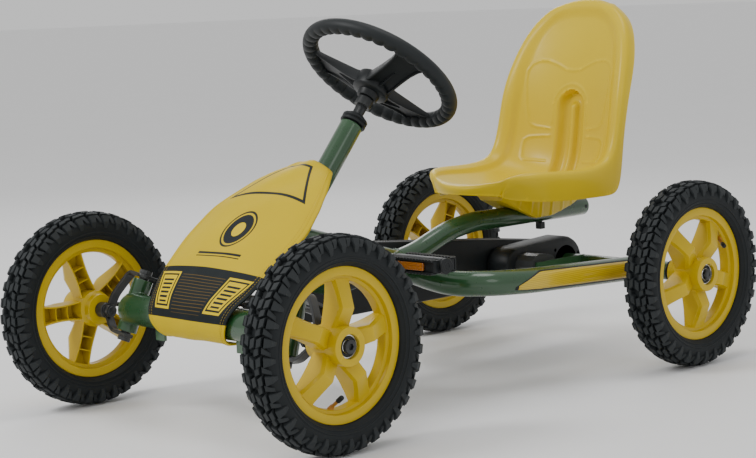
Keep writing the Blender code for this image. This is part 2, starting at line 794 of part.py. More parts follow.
def make_crank():
    """The one-piece crank with its chainring, and the pedals on it."""
    axis = pivot("crank_axis", CRANK_AXIS)
    reach = Vector((0, math.cos(CRANK_ANGLE), math.sin(CRANK_ANGLE))) * CRANK_LENGTH
    left = CRANK_AXIS + reach + Vector((0.072, 0, 0))
    right = CRANK_AXIS - reach + Vector((-0.0712, 0, 0))
    path = (left, CRANK_AXIS + Vector((0.046, 0, 0)), CRANK_AXIS + Vector((-0.0712, 0, 0)), right)
    bar = tube(path, 0.0085, detail=3)
    studs = []
    for place, side in ((left, 1), (right, -1)):
        profile = [(0, 0.177), (0.0055, 0.177), (0.0055, 0.0785), (0.0125, 0.0785), (0.0125, 0.065), (0, 0.065)]
        studs.append(turned(profile, 12, placed((0, place.y, place.z), (side, 0, 0), (0, 0, 1))))
    part("crank", joined(bar, *studs), STEEL, CRANK_AXIS, axis)

    disc = FRONT_TEETH * CHAIN_PITCH / (2 * math.pi) - 0.0023
    face = placed(CRANK_AXIS + Vector((CHAIN_X, 0, 0)), (1, 0, 0), (0, 1, 0))
    ring = turned([(disc, 0.0015), (disc, -0.0015), (0.0092, -0.0015), (0.0092, 0.0015)], 24, face)
    part("chainring", ring, STEEL, CRANK_AXIS, axis)

    for word, side, place in (("left", 1, left), ("right", -1, right)):
        centre = Vector((0, place.y, place.z))
        turn = pivot(f"pedal_axis_{word}", centre, axis)
        outwards = placed(centre, (side, 0, 0), (0, 1, 0))
        body = block((-0.028, -0.0125, PEDAL_IN + 0.001), (0.028, 0.0125, PEDAL_OUT - 0.007), outwards)
        barrel = turned([(0, PEDAL_OUT), (0.0135, PEDAL_OUT), (0.0135, PEDAL_IN), (0, PEDAL_IN)], 14, outwards)
        bore = turned([(0, 0.181), (0.0062, 0.181), (0.0062, 0.05), (0, 0.05)], 12, outwards)
        recess = block((-0.04, -0.0060, 0.0915), (-0.0245, 0.0060, 0.1385), outwards)
        hollows = [
            block((0.016, -0.02, 0.0915), (0.023, 0.02, 0.1785), outwards),
            block((-0.0215, -0.02, 0.0915), (-0.0165, 0.02, 0.1785), outwards),
        ]
        body = cut(joined(body, barrel), bore, recess, *hollows)
        part(f"pedal_{word}", body, BLACK, centre, turn)
        lens = block((-0.0275, -0.0055, 0.0920), (-0.0248, 0.0055, 0.1380), outwards)
        part(f"pedal_reflector_{word}", lens, ORANGE, centre, turn)


def make_chain_cases():
    """The chain, the case round it and the cover of the rear hub, all fixed to the frame."""
    rear = (REAR_AXLE.y, REAR_AXLE.z)
    pitch_front = FRONT_TEETH * CHAIN_PITCH / (2 * math.pi)
    pitch_rear = REAR_TEETH * CHAIN_PITCH / (2 * math.pi)
    loops = []
    for grow in (0.002, -0.0019):
        loops.append(belt([(CRANK_Y, CRANK_Z, pitch_front + grow), (*rear, pitch_rear + grow)], 24))
    at_chain = SIDE_VIEW.copy()
    at_chain.translation = (CHAIN_X, 0, 0)
    part("chain", plate(loops, 0.006, at_chain), BLACK_STEEL)

    def case(grow, low, high):
        circles = [
            (CRANK_Y, CRANK_Z, 0.066 + grow),
            (0.285, 0.172, 0.040 + grow),
            (*rear, 0.036 + grow),
        ]
        return plate([belt(circles, 14)], high - low, at((low + high) / 2))

    def at(x):
        matrix = SIDE_VIEW.copy()
        matrix.translation = (x, 0, 0)
        return matrix

    guard = case(0, -0.062, -0.033)
    crank_hole = rod((-0.1, CRANK_Y, CRANK_Z), (0.0, CRANK_Y, CRANK_Z), 0.0145, 14)
    axle_hole = rod((-0.1, *rear), (0.0, *rear), 0.0160, 14)
    tube_hole = tube(side_path(-1), SIDE_RADIUS + 0.002, detail=4, bends=2)
    guard = cut(guard, case(-0.002, -0.060, -0.035), crank_hole, axle_hole, tube_hole)
    part("chain_guard", guard, BLACK)

    def cover(grow, low, high):
        circles = [(*rear, 0.046 + grow), (0.290, 0.166, 0.033 + grow)]
        return plate([belt(circles, 14)], high - low, at((low + high) / 2))

    axle_hole = rod((-0.05, *rear), (0.05, *rear), 0.0125, 14)
    hub = cut(cover(0, -0.0315, 0.0215), cover(-0.0025, -0.05, 0.0190), axle_hole)
    part("hub_cover", hub, BLACK)


def make_seat():
    """The bucket shell, its saddle on the seat tube and the clamp screw through the tube's slot."""
    # Each row across the seat: middle (y, z), edge (y, z), half width, rim's lower edge (y, z)
    rows = (
        ((0.152, 0.302), (0.186, 0.302), 0.083, (0.188, 0.301)),
        ((0.149, 0.326), (0.183, 0.336), 0.088, (0.188, 0.300)),
        ((0.185, 0.323), (0.205, 0.342), 0.118, (0.205, 0.298)),
        ((0.240, 0.313), (0.250, 0.343), 0.132, (0.250, 0.297)),
        ((0.310, 0.305), (0.310, 0.339), 0.139, (0.310, 0.294)),
        ((0.370, 0.3015), (0.362, 0.340), 0.142, (0.380, 0.291)),
        ((0.420, 0.307), (0.400, 0.350), 0.143, (0.425, 0.289)),
        ((0.446, 0.332), (0.418, 0.379), 0.141, (0.440, 0.325)),
        ((0.458, 0.385), (0.429, 0.419), 0.139, (0.449, 0.385)),
        ((0.466, 0.450), (0.438, 0.468), 0.138, (0.464, 0.460)),
        ((0.476, 0.510), (0.458, 0.520), 0.131, (0.483, 0.514)),
        ((0.492, 0.567), (0.482, 0.569), 0.115, (0.503, 0.562)),
        ((0.506, 0.609), (0.502, 0.604), 0.091, (0.521, 0.596)),
        ((0.512, 0.633), (0.508, 0.623), 0.056, (0.528, 0.615)),
        ((0.531, 0.627), (0.527, 0.619), 0.052, (0.529, 0.615)),
    )
    shares = (-1, -0.8, -0.5, -0.2, 0, 0.2, 0.5, 0.8, 1)
    grid = []
    for (my, mz), (ey, ez), half, (ly, lz) in rows:
        line = []
        for share in shares:
            rise = abs(share) ** 2.2
            line.append((half * share, my + (ey - my) * rise, mz + (ez - mz) * rise))
        grid.append([(-half - 0.006, ly, lz), *line, (half + 0.006, ly, lz)])
    slide = pivot("seat_slide_origin", (0, 0.37, SEAT_TUBE_Z))
    part("seat_shell", shell(grid, 0.004), YELLOW, slide.location, slide)

    hold = SEAT_TUBE_RADIUS + 0.0006
    arch = [(hold * math.cos(math.pi * i / 8), hold * math.sin(math.pi * i / 8)) for i in range(9)]
    outline = [(0.028, -0.0055), (0.034, 0.0418), (-0.034, 0.0418), (-0.028, -0.0055)]
    outline += [(-hold, -0.0055), *arch[::-1], (hold, -0.0055)]
    saddle = plate([outline], 0.215, placed((0, 0.370, SEAT_TUBE_Z), (0, -1, 0), (1, 0, 0)))
    hole = rod((0, 0.3715, SEAT_TUBE_Z), (0, 0.3715, SEAT_TUBE_Z + 0.036), 0.0045, 10)
    part("seat_saddle", cut(saddle, hole), YELLOW, slide.location, slide)

    under = SEAT_TUBE_Z - SEAT_TUBE_RADIUS - 0.0005
    head = block((-0.010, 0.3615, under - 0.013), (0.010, 0.3815, under))
    stem = rod((0, 0.3715, under - 0.005), (0, 0.3715, SEAT_TUBE_Z + 0.034), 0.0038, 10)
    part("seat_clamp_screw", joined(head, stem), BLACK, slide.location, slide)


def arched(rows, shares):
    """Rows across a cover: each (half width, edge y, edge z, bulge forwards, bulge up)."""
    grid = []
    for half, y, z, forward, up in rows:
        line = []
        for share in shares:
            swell = 1 - abs(share) ** 2.5
            line.append((half * share, y - forward * swell, z + up * swell))
        grid.append(line)
    return grid


def make_covers(swing):
    """The soft hood on the frame and the soft sleeve round the front beam."""
    shares = (-1, -0.75, -0.4, 0, 0.4, 0.75, 1)
    hood = (
        (0.050, -0.180, 0.3765, 0.002, 0.0160),
        (0.078, -0.2116, 0.3649, 0.005, 0.0150),
        (0.100, -0.2430, 0.3470, 0.006, 0.0145),
        (0.121, -0.2795, 0.3238, 0.007, 0.0135),
        (0.130, -0.3100, 0.2985, 0.008, 0.0125),
        (0.1305, -0.3400, 0.2755, 0.008, 0.0115),
        (0.123, -0.3781, 0.2456, 0.008, 0.0105),
    )
    part("hood_cover", shell(arched(hood, shares), 0.003), FABRIC)
    sleeve = (
        (0.118, -0.4000, 0.2280, 0.007, 0.006),
        (0.112, -0.4150, 0.2140, 0.007, 0.005),
        (0.102, -0.4320, 0.1980, 0.006, 0.003),
        (0.095, -0.4440, 0.1800, 0.004, 0.001),
        (0.089, -0.4455, 0.1620, 0.002, 0.000),
        (0.081, -0.4370, 0.1450, 0.000, 0.000),
        (0.078, -0.4220, 0.1375, 0.000, 0.000),
        (0.078, -0.4040, 0.1380, 0.000, 0.000),
        (0.078, -0.3920, 0.1440, 0.000, 0.000),
    )
    part("beam_cover", shell(arched(sleeve, shares), 0.002), FABRIC, swing.location, swing)


make_frame()
make_column()
beam_pivot = make_beam()
make_swing_bolt()
wheel_patterns = {"tyre": tyre_mesh(), "rim": rim_mesh(), "bearing": bearing_mesh()}
for side_word, side_sign in SIDES:
    make_knuckle(side_word, side_sign, beam_pivot, wheel_patterns)
make_rear_drive(wheel_patterns)
for pattern in wheel_patterns.values():
    bpy.data.objects.remove(pattern, do_unlink=True)
make_crank()
make_chain_cases()
make_seat()
make_covers(beam_pivot)
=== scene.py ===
"""The looks of the pedal go kart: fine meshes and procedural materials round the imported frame."""

import json
import math

import bmesh
import bpy
import numpy as np
from mathutils import Matrix, Vector

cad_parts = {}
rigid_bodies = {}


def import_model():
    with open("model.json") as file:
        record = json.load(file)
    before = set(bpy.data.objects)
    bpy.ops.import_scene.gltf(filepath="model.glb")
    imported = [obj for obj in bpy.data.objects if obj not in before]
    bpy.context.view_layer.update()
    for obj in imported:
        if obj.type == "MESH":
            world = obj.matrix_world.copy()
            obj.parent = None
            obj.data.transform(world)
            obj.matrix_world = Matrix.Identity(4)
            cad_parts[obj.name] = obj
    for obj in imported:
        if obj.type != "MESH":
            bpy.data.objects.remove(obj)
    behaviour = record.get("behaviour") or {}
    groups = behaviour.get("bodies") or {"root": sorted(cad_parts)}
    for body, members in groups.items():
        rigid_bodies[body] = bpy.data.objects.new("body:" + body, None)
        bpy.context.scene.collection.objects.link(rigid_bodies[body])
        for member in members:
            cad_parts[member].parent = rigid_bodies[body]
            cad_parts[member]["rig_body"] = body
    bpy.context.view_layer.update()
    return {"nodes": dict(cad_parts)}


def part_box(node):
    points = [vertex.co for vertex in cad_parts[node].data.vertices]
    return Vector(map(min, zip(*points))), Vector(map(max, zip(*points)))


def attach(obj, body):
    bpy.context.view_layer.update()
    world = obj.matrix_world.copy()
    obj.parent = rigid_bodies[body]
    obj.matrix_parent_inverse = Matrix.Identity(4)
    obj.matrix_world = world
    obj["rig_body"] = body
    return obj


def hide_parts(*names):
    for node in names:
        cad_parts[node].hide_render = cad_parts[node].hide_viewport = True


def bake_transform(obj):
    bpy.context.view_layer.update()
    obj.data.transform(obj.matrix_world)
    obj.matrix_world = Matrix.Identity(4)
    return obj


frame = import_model()

UP = Vector((0, 0, 1))
LEFTWARDS = Vector((1, 0, 0))
REARWARDS = Vector((0, 1, 0))
SIDES = (("left", 1), ("right", -1))
PLACES = ("front_left", "front_right", "rear_left", "rear_right")
COLUMN_TILT = math.radians(49.7)
COLUMN = Vector((0, math.cos(COLUMN_TILT), math.sin(COLUMN_TILT)))


def middle(node):
    low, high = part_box(node)
    return (low + high) / 2


def reach_across(node):
    """The node's nearest and farthest distance from the middle plane."""
    low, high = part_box(node)
    return sorted((abs(low.x), abs(high.x)))


WHEEL_AT = {place: middle(f"tyre_{place}") for place in PLACES}
STEERING_AT = middle("steering_wheel")
AXLE_Y = WHEEL_AT["rear_left"].y
AXLE_Z = WHEEL_AT["rear_left"].z
CRANK_AT = middle("chainring")


# ---------------------------------------------------------------- shader arithmetic


def ramp(tree, socket, low, high):
    """0 where the socket's value is low or less, 1 where it is high or more."""
    node = tree.nodes.new("ShaderNodeMapRange")
    node.inputs["From Min"].default_value = low
    node.inputs["From Max"].default_value = high
    tree.links.new(socket, node.inputs["Value"])
    return Value(tree, node.outputs["Result"])


def split(tree, socket):
    """The X, Y and Z of a vector socket."""
    node = tree.nodes.new("ShaderNodeSeparateXYZ")
    tree.links.new(socket, node.inputs[0])
    return [Value(tree, node.outputs[axis]) for axis in "XYZ"]


class Value:
    """A shader value; arithmetic on it adds Math nodes."""

    def __init__(self, tree, socket):
        self.tree = tree
        self.socket = socket

    def math(self, operation, *others):
        node = self.tree.nodes.new("ShaderNodeMath")
        node.operation = operation
        for slot, value in zip(node.inputs, (self, *others)):
            if isinstance(value, Value):
                self.tree.links.new(value.socket, slot)
            else:
                slot.default_value = value
        return Value(self.tree, node.outputs[0])

    def __add__(self, other):
        return self.math("ADD", other)

    def __sub__(self, other):
        return self.math("SUBTRACT", other)

    def __mul__(self, other):
        return self.math("MULTIPLY", other)

    def __abs__(self):
        return self.math("ABSOLUTE")

    def least(self, other):
        return self.math("MINIMUM", other)

    def under(self, edge):
        return self.math("LESS_THAN", edge)

    def wave(self, period):
        """0 to 1 and back over each period."""
        return self.math("PINGPONG", period / 2) * (2 / period)

    def above(self, edge, soft=0.0004):
        """1 where the value is over the edge, 0 below it."""
        return ramp(self.tree, self.socket, edge - soft / 2, edge + soft / 2)

    def between(self, low, high, soft=0.0004):
        return self.above(low, soft) * (self.above(high, soft) * -1 + 1)


class Look:
    """A material under construction: a Principled shader and what feeds it."""

    def __init__(self, name, roughness, metallic=0.0, specular=0.5, coat=0.0, coat_roughness=0.03):
        self.material = bpy.data.materials.new(name)
        self.material.use_nodes = True
        self.tree = self.material.node_tree
        self.shader = self.tree.nodes["Principled BSDF"]
        settings = {
            "Roughness": roughness, "Metallic": metallic, "Specular IOR Level": specular,
            "Coat Weight": coat, "Coat Roughness": coat_roughness,
        }
        for socket, value in settings.items():
            self.shader.inputs[socket].default_value = value
        self.place = self.tree.nodes.new("ShaderNodeTexCoord").outputs["Object"]
        self.normal = None

    def noise(self, scale, detail=3.0, stretch=None):
        where = self.place
        if stretch is not None:
            mapping = self.tree.nodes.new("ShaderNodeMapping")
            mapping.inputs["Scale"].default_value = stretch
            self.tree.links.new(self.place, mapping.inputs["Vector"])
            where = mapping.outputs["Vector"]
        node = self.tree.nodes.new("ShaderNodeTexNoise")
        node.inputs["Scale"].default_value = scale
        node.inputs["Detail"].default_value = detail
        self.tree.links.new(where, node.inputs["Vector"])
        return Value(self.tree, node.outputs["Fac"])

    def cells(self, scale):
        node = self.tree.nodes.new("ShaderNodeTexVoronoi")
        node.inputs["Scale"].default_value = scale
        self.tree.links.new(self.place, node.inputs["Vector"])
        return Value(self.tree, node.outputs["Distance"])

    def blend(self, share, low, high):
        """A colour from low to high as share goes from 0 to 1; each is a colour or a socket."""
        node = self.tree.nodes.new("ShaderNodeMix")
        node.data_type = "RGBA"
        self.tree.links.new(share.socket, node.inputs["Factor"])
        for name, colour in (("A", low), ("B", high)):
            slot = next(s for s in node.inputs if s.name == name and s.type == "RGBA")
            if isinstance(colour, tuple):
                slot.default_value = (*colour, 1)
            else:
                self.tree.links.new(colour, slot)
        return next(s for s in node.outputs if s.type == "RGBA")

    def colour(self, socket):
        self.tree.links.new(socket, self.shader.inputs["Base Color"])

    def roughness(self, share, low, high):
        rough = share * (high - low) + low
        self.tree.links.new(rough.socket, self.shader.inputs["Roughness"])

    def bump(self, height, distance, strength):
        node = self.tree.nodes.new("ShaderNodeBump")
        node.inputs["Strength"].default_value = strength
        node.inputs["Distance"].default_value = distance
        self.tree.links.new(height.socket, node.inputs["Height"])
        if self.normal is not None:
            self.tree.links.new(self.normal, node.inputs["Normal"])
        self.normal = node.outputs["Normal"]
        self.tree.links.new(self.normal, self.shader.inputs["Normal"])

    def edge_wear(self, low, high):
        """1 on convex edges."""
        geometry = self.tree.nodes.new("ShaderNodeNewGeometry")
        return ramp(self.tree, geometry.outputs["Pointiness"], low, high)


def worn_look(name, patch, tones, wear, worn, spread, rough, bumps, edges=(0.52, 0.60), **coat):
    """Two mottled tones, worn on convex edges.

    patch and spread are the noise scales of the tones and of the roughness. Each bump is a scale, a
    noise detail (None for a cell pattern), a distance and a strength.
    """
    look = Look(name, rough[0], **coat)
    base = look.blend(look.noise(patch), *tones)
    look.colour(look.blend(look.edge_wear(*edges) * wear, base, worn))
    look.roughness(look.noise(spread), *rough)
    for scale, detail, distance, strength in bumps:
        height = look.cells(scale) if detail is None else look.noise(scale, detail)
        look.bump(height, distance, strength)
    return look.material


def plastic_look(name, dark, light, rough, grain, coat=0.0):
    worn = tuple(min(1.0, c * 1.25 + 0.004) for c in light)
    bumps = ((grain, None, 0.00010, 0.35), (55, 2, 0.0003, 0.12))
    return worn_look(
        name, 9, (dark, light), 0.45, worn, 45, (rough - 0.06, rough + 0.08), bumps,
        specular=0.32, coat=coat, coat_roughness=0.2,
    )


def steel_look(name, dark, light, rough, stretch):
    """Bare steel with streaks across the direction that stretch repeats most."""
    look = Look(name, rough, 1.0)
    streaks = look.noise(110, 4, stretch)
    look.colour(look.blend(streaks, dark, light))
    look.roughness(streaks, rough - 0.08, rough + 0.12)
    look.bump(streaks, 0.00008, 0.3)
    return look.material


def reflector_look():
    look = Look("orange_reflector", 0.12, coat=1.0, coat_roughness=0.05)
    facets = look.cells(420)
    look.colour(look.blend(facets, (0.26, 0.070, 0.002), (0.52, 0.165, 0.005)))
    look.bump(facets, 0.0008, 0.8)
    return look.material


def floor_look():
    look = Look("pale_floor", 0.55)
    look.colour(look.blend(look.noise(3), (0.86, 0.86, 0.86), (0.89, 0.89, 0.89)))
    return look.material


def strip_look():
    """Yellow film with fine darker lines along it."""
    look = Look("sticker", 0.35, coat=0.6, coat_roughness=0.12)
    height = split(look.tree, look.place)[2]
    stripes = height.wave(0.0030).above(0.62, 0.2)
    base = look.blend(look.noise(30), (0.60, 0.43, 0.003), (0.68, 0.49, 0.005))
    look.colour(look.blend(stripes * 0.6, base, (0.40, 0.20, 0.004)))
    look.bump(look.noise(300, 2), 0.0001, 0.3)
    return look.material


def cover_look(band_top, band_bottom, badge_at):
    """Coated yellow cloth with a dark band, fine lines, plain lamp shapes, hems and stitches.

    UV map "cloth" holds metres across and along the cloth; "share" holds -1 to 1 across. The arguments
    are distances along the cloth.
    """
    look = Look("yellow_cover_cloth", 0.55, specular=0.16)
    tree = look.tree

    def layer(which):
        node = tree.nodes.new("ShaderNodeUVMap")
        node.uv_map = which
        return split(tree, node.outputs[0])[:2]

    across, along = layer("cloth")
    from_middle = abs(layer("share")[0])
    side = abs(across)

    yellow = look.blend(look.noise(12), (0.57, 0.405, 0.001), (0.64, 0.46, 0.002))
    bright = (0.72, 0.52, 0.002)
    dark = look.blend(look.noise(50), (0.007, 0.0105, 0.0115), (0.014, 0.019, 0.020))
    ink = (0.010, 0.014, 0.017)

    # The band, its fine lines, and the two lamp shapes, which lean outwards
    band = along.between(band_top, band_bottom)
    down = (along - band_top) * (1 / (band_bottom - band_top))
    inner_edge = down * -0.022 + 0.0610
    outer_edge = down * -0.0435 + 0.1160

    def lamp(inset, low, high):
        """1 inside a lamp shape drawn in by that much, between two shares of the band's depth."""
        past_inner = (side - inner_edge).above(inset)
        past_outer = (side - outer_edge).above(-inset)
        return past_inner * (past_outer * -1 + 1) * down.between(low, high, 0.006)

    slats = down.wave(0.086).above(0.50, 0.1)
    outline = lamp(0.0, 0.12, 0.86) - lamp(0.0034, 0.165, 0.815)
    field = lamp(0.0062, 0.200, 0.780)
    slat_field = lamp(0.0105, 0.235, 0.745)
    lamps = (outline + field - slat_field * slats).least(1.0)
    fine_lines = along.wave(0.0054).above(0.82, 0.15) * down.between(0.12, 0.90, 0.01)
    fine_lines = fine_lines * (side - inner_edge).under(-0.006)
    banded = look.blend(fine_lines * 0.38, dark, (0.36, 0.20, 0.02))
    banded = look.blend(lamps, banded, bright)

    # A thin panel line near the top, a plain round badge, and two pinstripes under it
    panel_edge = along * 0.74 + 0.0154
    panel_bottom = side * side + 0.0950

    def panel(inset):
        """1 inside the panel drawn in by that much."""
        rows = along.above(0.014 + inset) * (panel_bottom - along).above(inset)
        return rows * (panel_edge - side).above(inset)

    panel_line = panel(0.0) - panel(0.0056)
    rise = along - badge_at
    badge_size = (across * across * 0.86 + rise * rise * 0.62).math("SQRT")
    badge = badge_size.under(0.0240) + badge_size.between(0.0270, 0.0300)
    stripes = rise.between(0.0500, 0.0545) + rise.between(0.0575, 0.0595)
    stripes = stripes * (side.above(0.052) * -1 + 1)
    cloth = look.blend((panel_line + badge + stripes).least(1.0), yellow, ink)
    cloth = look.blend(badge_size.under(0.0115), cloth, bright)

    painted = look.blend(band, cloth, banded)
    seams = from_middle.between(0.905, 0.918, 0.004) + from_middle.between(0.955, 0.965, 0.004)
    thread = seams * along.wave(0.0042).above(0.40, 0.2)
    look.colour(look.blend(thread * 0.7, painted, (0.48, 0.31, 0.003)))
    look.roughness(band * 0.6 + look.noise(60) * 0.4, 0.44, 0.62)

    look.bump(across.wave(0.0011) + along.wave(0.0011), 0.00012, 0.35)
    look.bump(thread, 0.0006, 0.6)
    look.bump(look.noise(24, 3), 0.0022, 0.30)
    return look.material


PAINT = worn_look(
    "green_paint", 14, ((0.010, 0.050, 0.014), (0.017, 0.070, 0.021)), 0.4, (0.05, 0.14, 0.055), 60,
    (0.22, 0.36), ((700, 2, 0.00012, 0.35),), specular=0.4, coat=0.7, coat_roughness=0.08,
)
RUBBER = worn_look(
    "tyre_rubber", 30, ((0.0045, 0.0065, 0.0078), (0.0095, 0.0130, 0.0145)), 0.55, (0.032, 0.037, 0.039),
    120, (0.52, 0.72), ((900, 2, 0.00018, 0.5), (90, 3, 0.0004, 0.15)), (0.51, 0.62), specular=0.30,
)
BLACK_METAL = worn_look(
    "black_powder_coat", 40, ((0.005, 0.0062, 0.0068), (0.011, 0.0125, 0.0135)), 0.6, (0.060, 0.064, 0.064),
    90, (0.28, 0.46), ((1100, 2, 0.0001, 0.5),), specular=0.4, coat=0.2, coat_roughness=0.25,
)
SEAT_YELLOW = plastic_look("yellow_seat_plastic", (0.62, 0.440, 0.001), (0.71, 0.510, 0.002), 0.38, 900, 0.10)
RIM_YELLOW = plastic_look("yellow_rim_plastic", (0.50, 0.345, 0.002), (0.59, 0.41, 0.004), 0.38, 700, 0.08)
BLACK = plastic_look("black_plastic", (0.0045, 0.006, 0.0068), (0.010, 0.0125, 0.0135), 0.42, 1100)
SOFT_BLACK = plastic_look("soft_black_grip", (0.007, 0.0095, 0.0105), (0.013, 0.0165, 0.0175), 0.50, 1500)
VALVE = plastic_look("valve_rubber", (0.30, 0.13, 0.02), (0.45, 0.20, 0.03), 0.5, 900)
STEEL = steel_look("zinc_steel", (0.48, 0.48, 0.46), (0.72, 0.72, 0.69), 0.30, (1, 1, 14))
BRIGHT = steel_look("bright_steel", (0.60, 0.60, 0.58), (0.80, 0.80, 0.78), 0.20, (14, 14, 1))
REFLECTOR = reflector_look()
STRIP = strip_look()


# ---------------------------------------------------------------- meshes


def placed(origin, z_axis, x_axis):
    """A matrix with its local Z along z_axis and its local X as near x_axis as it can be."""
    z = Vector(z_axis).normalized()
    x = Vector(x_axis)
    x = (x - x.dot(z) * z).normalized()
    return axes(origin, x, z.cross(x), z)


def axes(origin, x, y, z):
    """The matrix of three axes at an origin."""
    matrix = Matrix((x, y, z)).transposed().to_4x4()
    matrix.translation = Vector(origin)
    return matrix


def smooth_path(points, per):
    """Points on a smooth curve through the given ones, with per steps between neighbours."""
    p = np.array([tuple(q) for q in points], float)
    knots = np.concatenate([[0], np.cumsum(np.sqrt(np.linalg.norm(np.diff(p, axis=0), axis=1)))])
    slope = np.gradient(p, knots, axis=0, edge_order=1)
    made = []
    for i in range(len(p) - 1):
        width = knots[i + 1] - knots[i]
        for t in np.arange(per) / per:
            h = (2 * t**3 - 3 * t**2 + 1, t**3 - 2 * t**2 + t, -2 * t**3 + 3 * t**2, t**3 - t**2)
            ends = h[0] * p[i] + h[2] * p[i + 1]
            made.append(ends + width * (h[1] * slope[i] + h[3] * slope[i + 1]))
    made.append(p[-1])
    return np.array(made)


def run_lengths(path):
    """The distance along a path at each of its points."""
    return np.concatenate([[0], np.cumsum(np.linalg.norm(np.diff(path, axis=0), axis=1))])


def unit_rows(vectors):
    return vectors / np.maximum(np.linalg.norm(vectors, axis=-1), 1e-9)[..., None]


def bend(before, corner, after, size, steps):
    """Points that round off a corner, starting that far before it."""
    first = corner + (before - corner).normalized() * size
    last = corner + (after - corner).normalized() * size
    return [first.lerp(corner, t).lerp(corner.lerp(last, t), t) for t in np.linspace(0, 1, steps)]


def circle(count, radius=1.0):
    turns = 2 * np.pi * np.arange(count) / count
    return np.stack([radius * np.cos(turns), radius * np.sin(turns)], axis=1)


def mirrored(points):
    """The points of one half, then their mirror images in the opposite order."""
    return [*points, *((-a, b) for a, b in points[::-1])]


def inset_outline(outline, size):
    """The outline moved inwards by size."""
    before = unit_rows(outline - np.roll(outline, 1, axis=0))
    after = unit_rows(np.roll(outline, -1, axis=0) - outline)
    x, y = outline[:, 0], outline[:, 1]
    turn = 1.0 if np.sum(x * np.roll(y, -1) - y * np.roll(x, -1)) > 0 else -1.0
    both = before + after
    return outline + unit_rows(np.stack([-both[:, 1], both[:, 0]], axis=1) * turn) * size


def belt(circles, per_circle=72):
    """The outline of a belt round circles (x, y, radius)."""
    points = []
    for x, y, radius in circles:
        points.extend((x + a, y + b) for a, b in circle(per_circle, radius))
    points.sort()
    halves = []
    for ordered in (points, points[::-1]):
        half = []
        for x, y in ordered:
            while len(half) > 1:
                (ax, ay), (bx, by) = half[-2:]
                if (bx - ax) * (y - ay) - (by - ay) * (x - ax) > 1e-12:
                    break
                half.pop()
            half.append((x, y))
        halves.append(half[:-1])
    return np.array(halves[0] + halves[1])


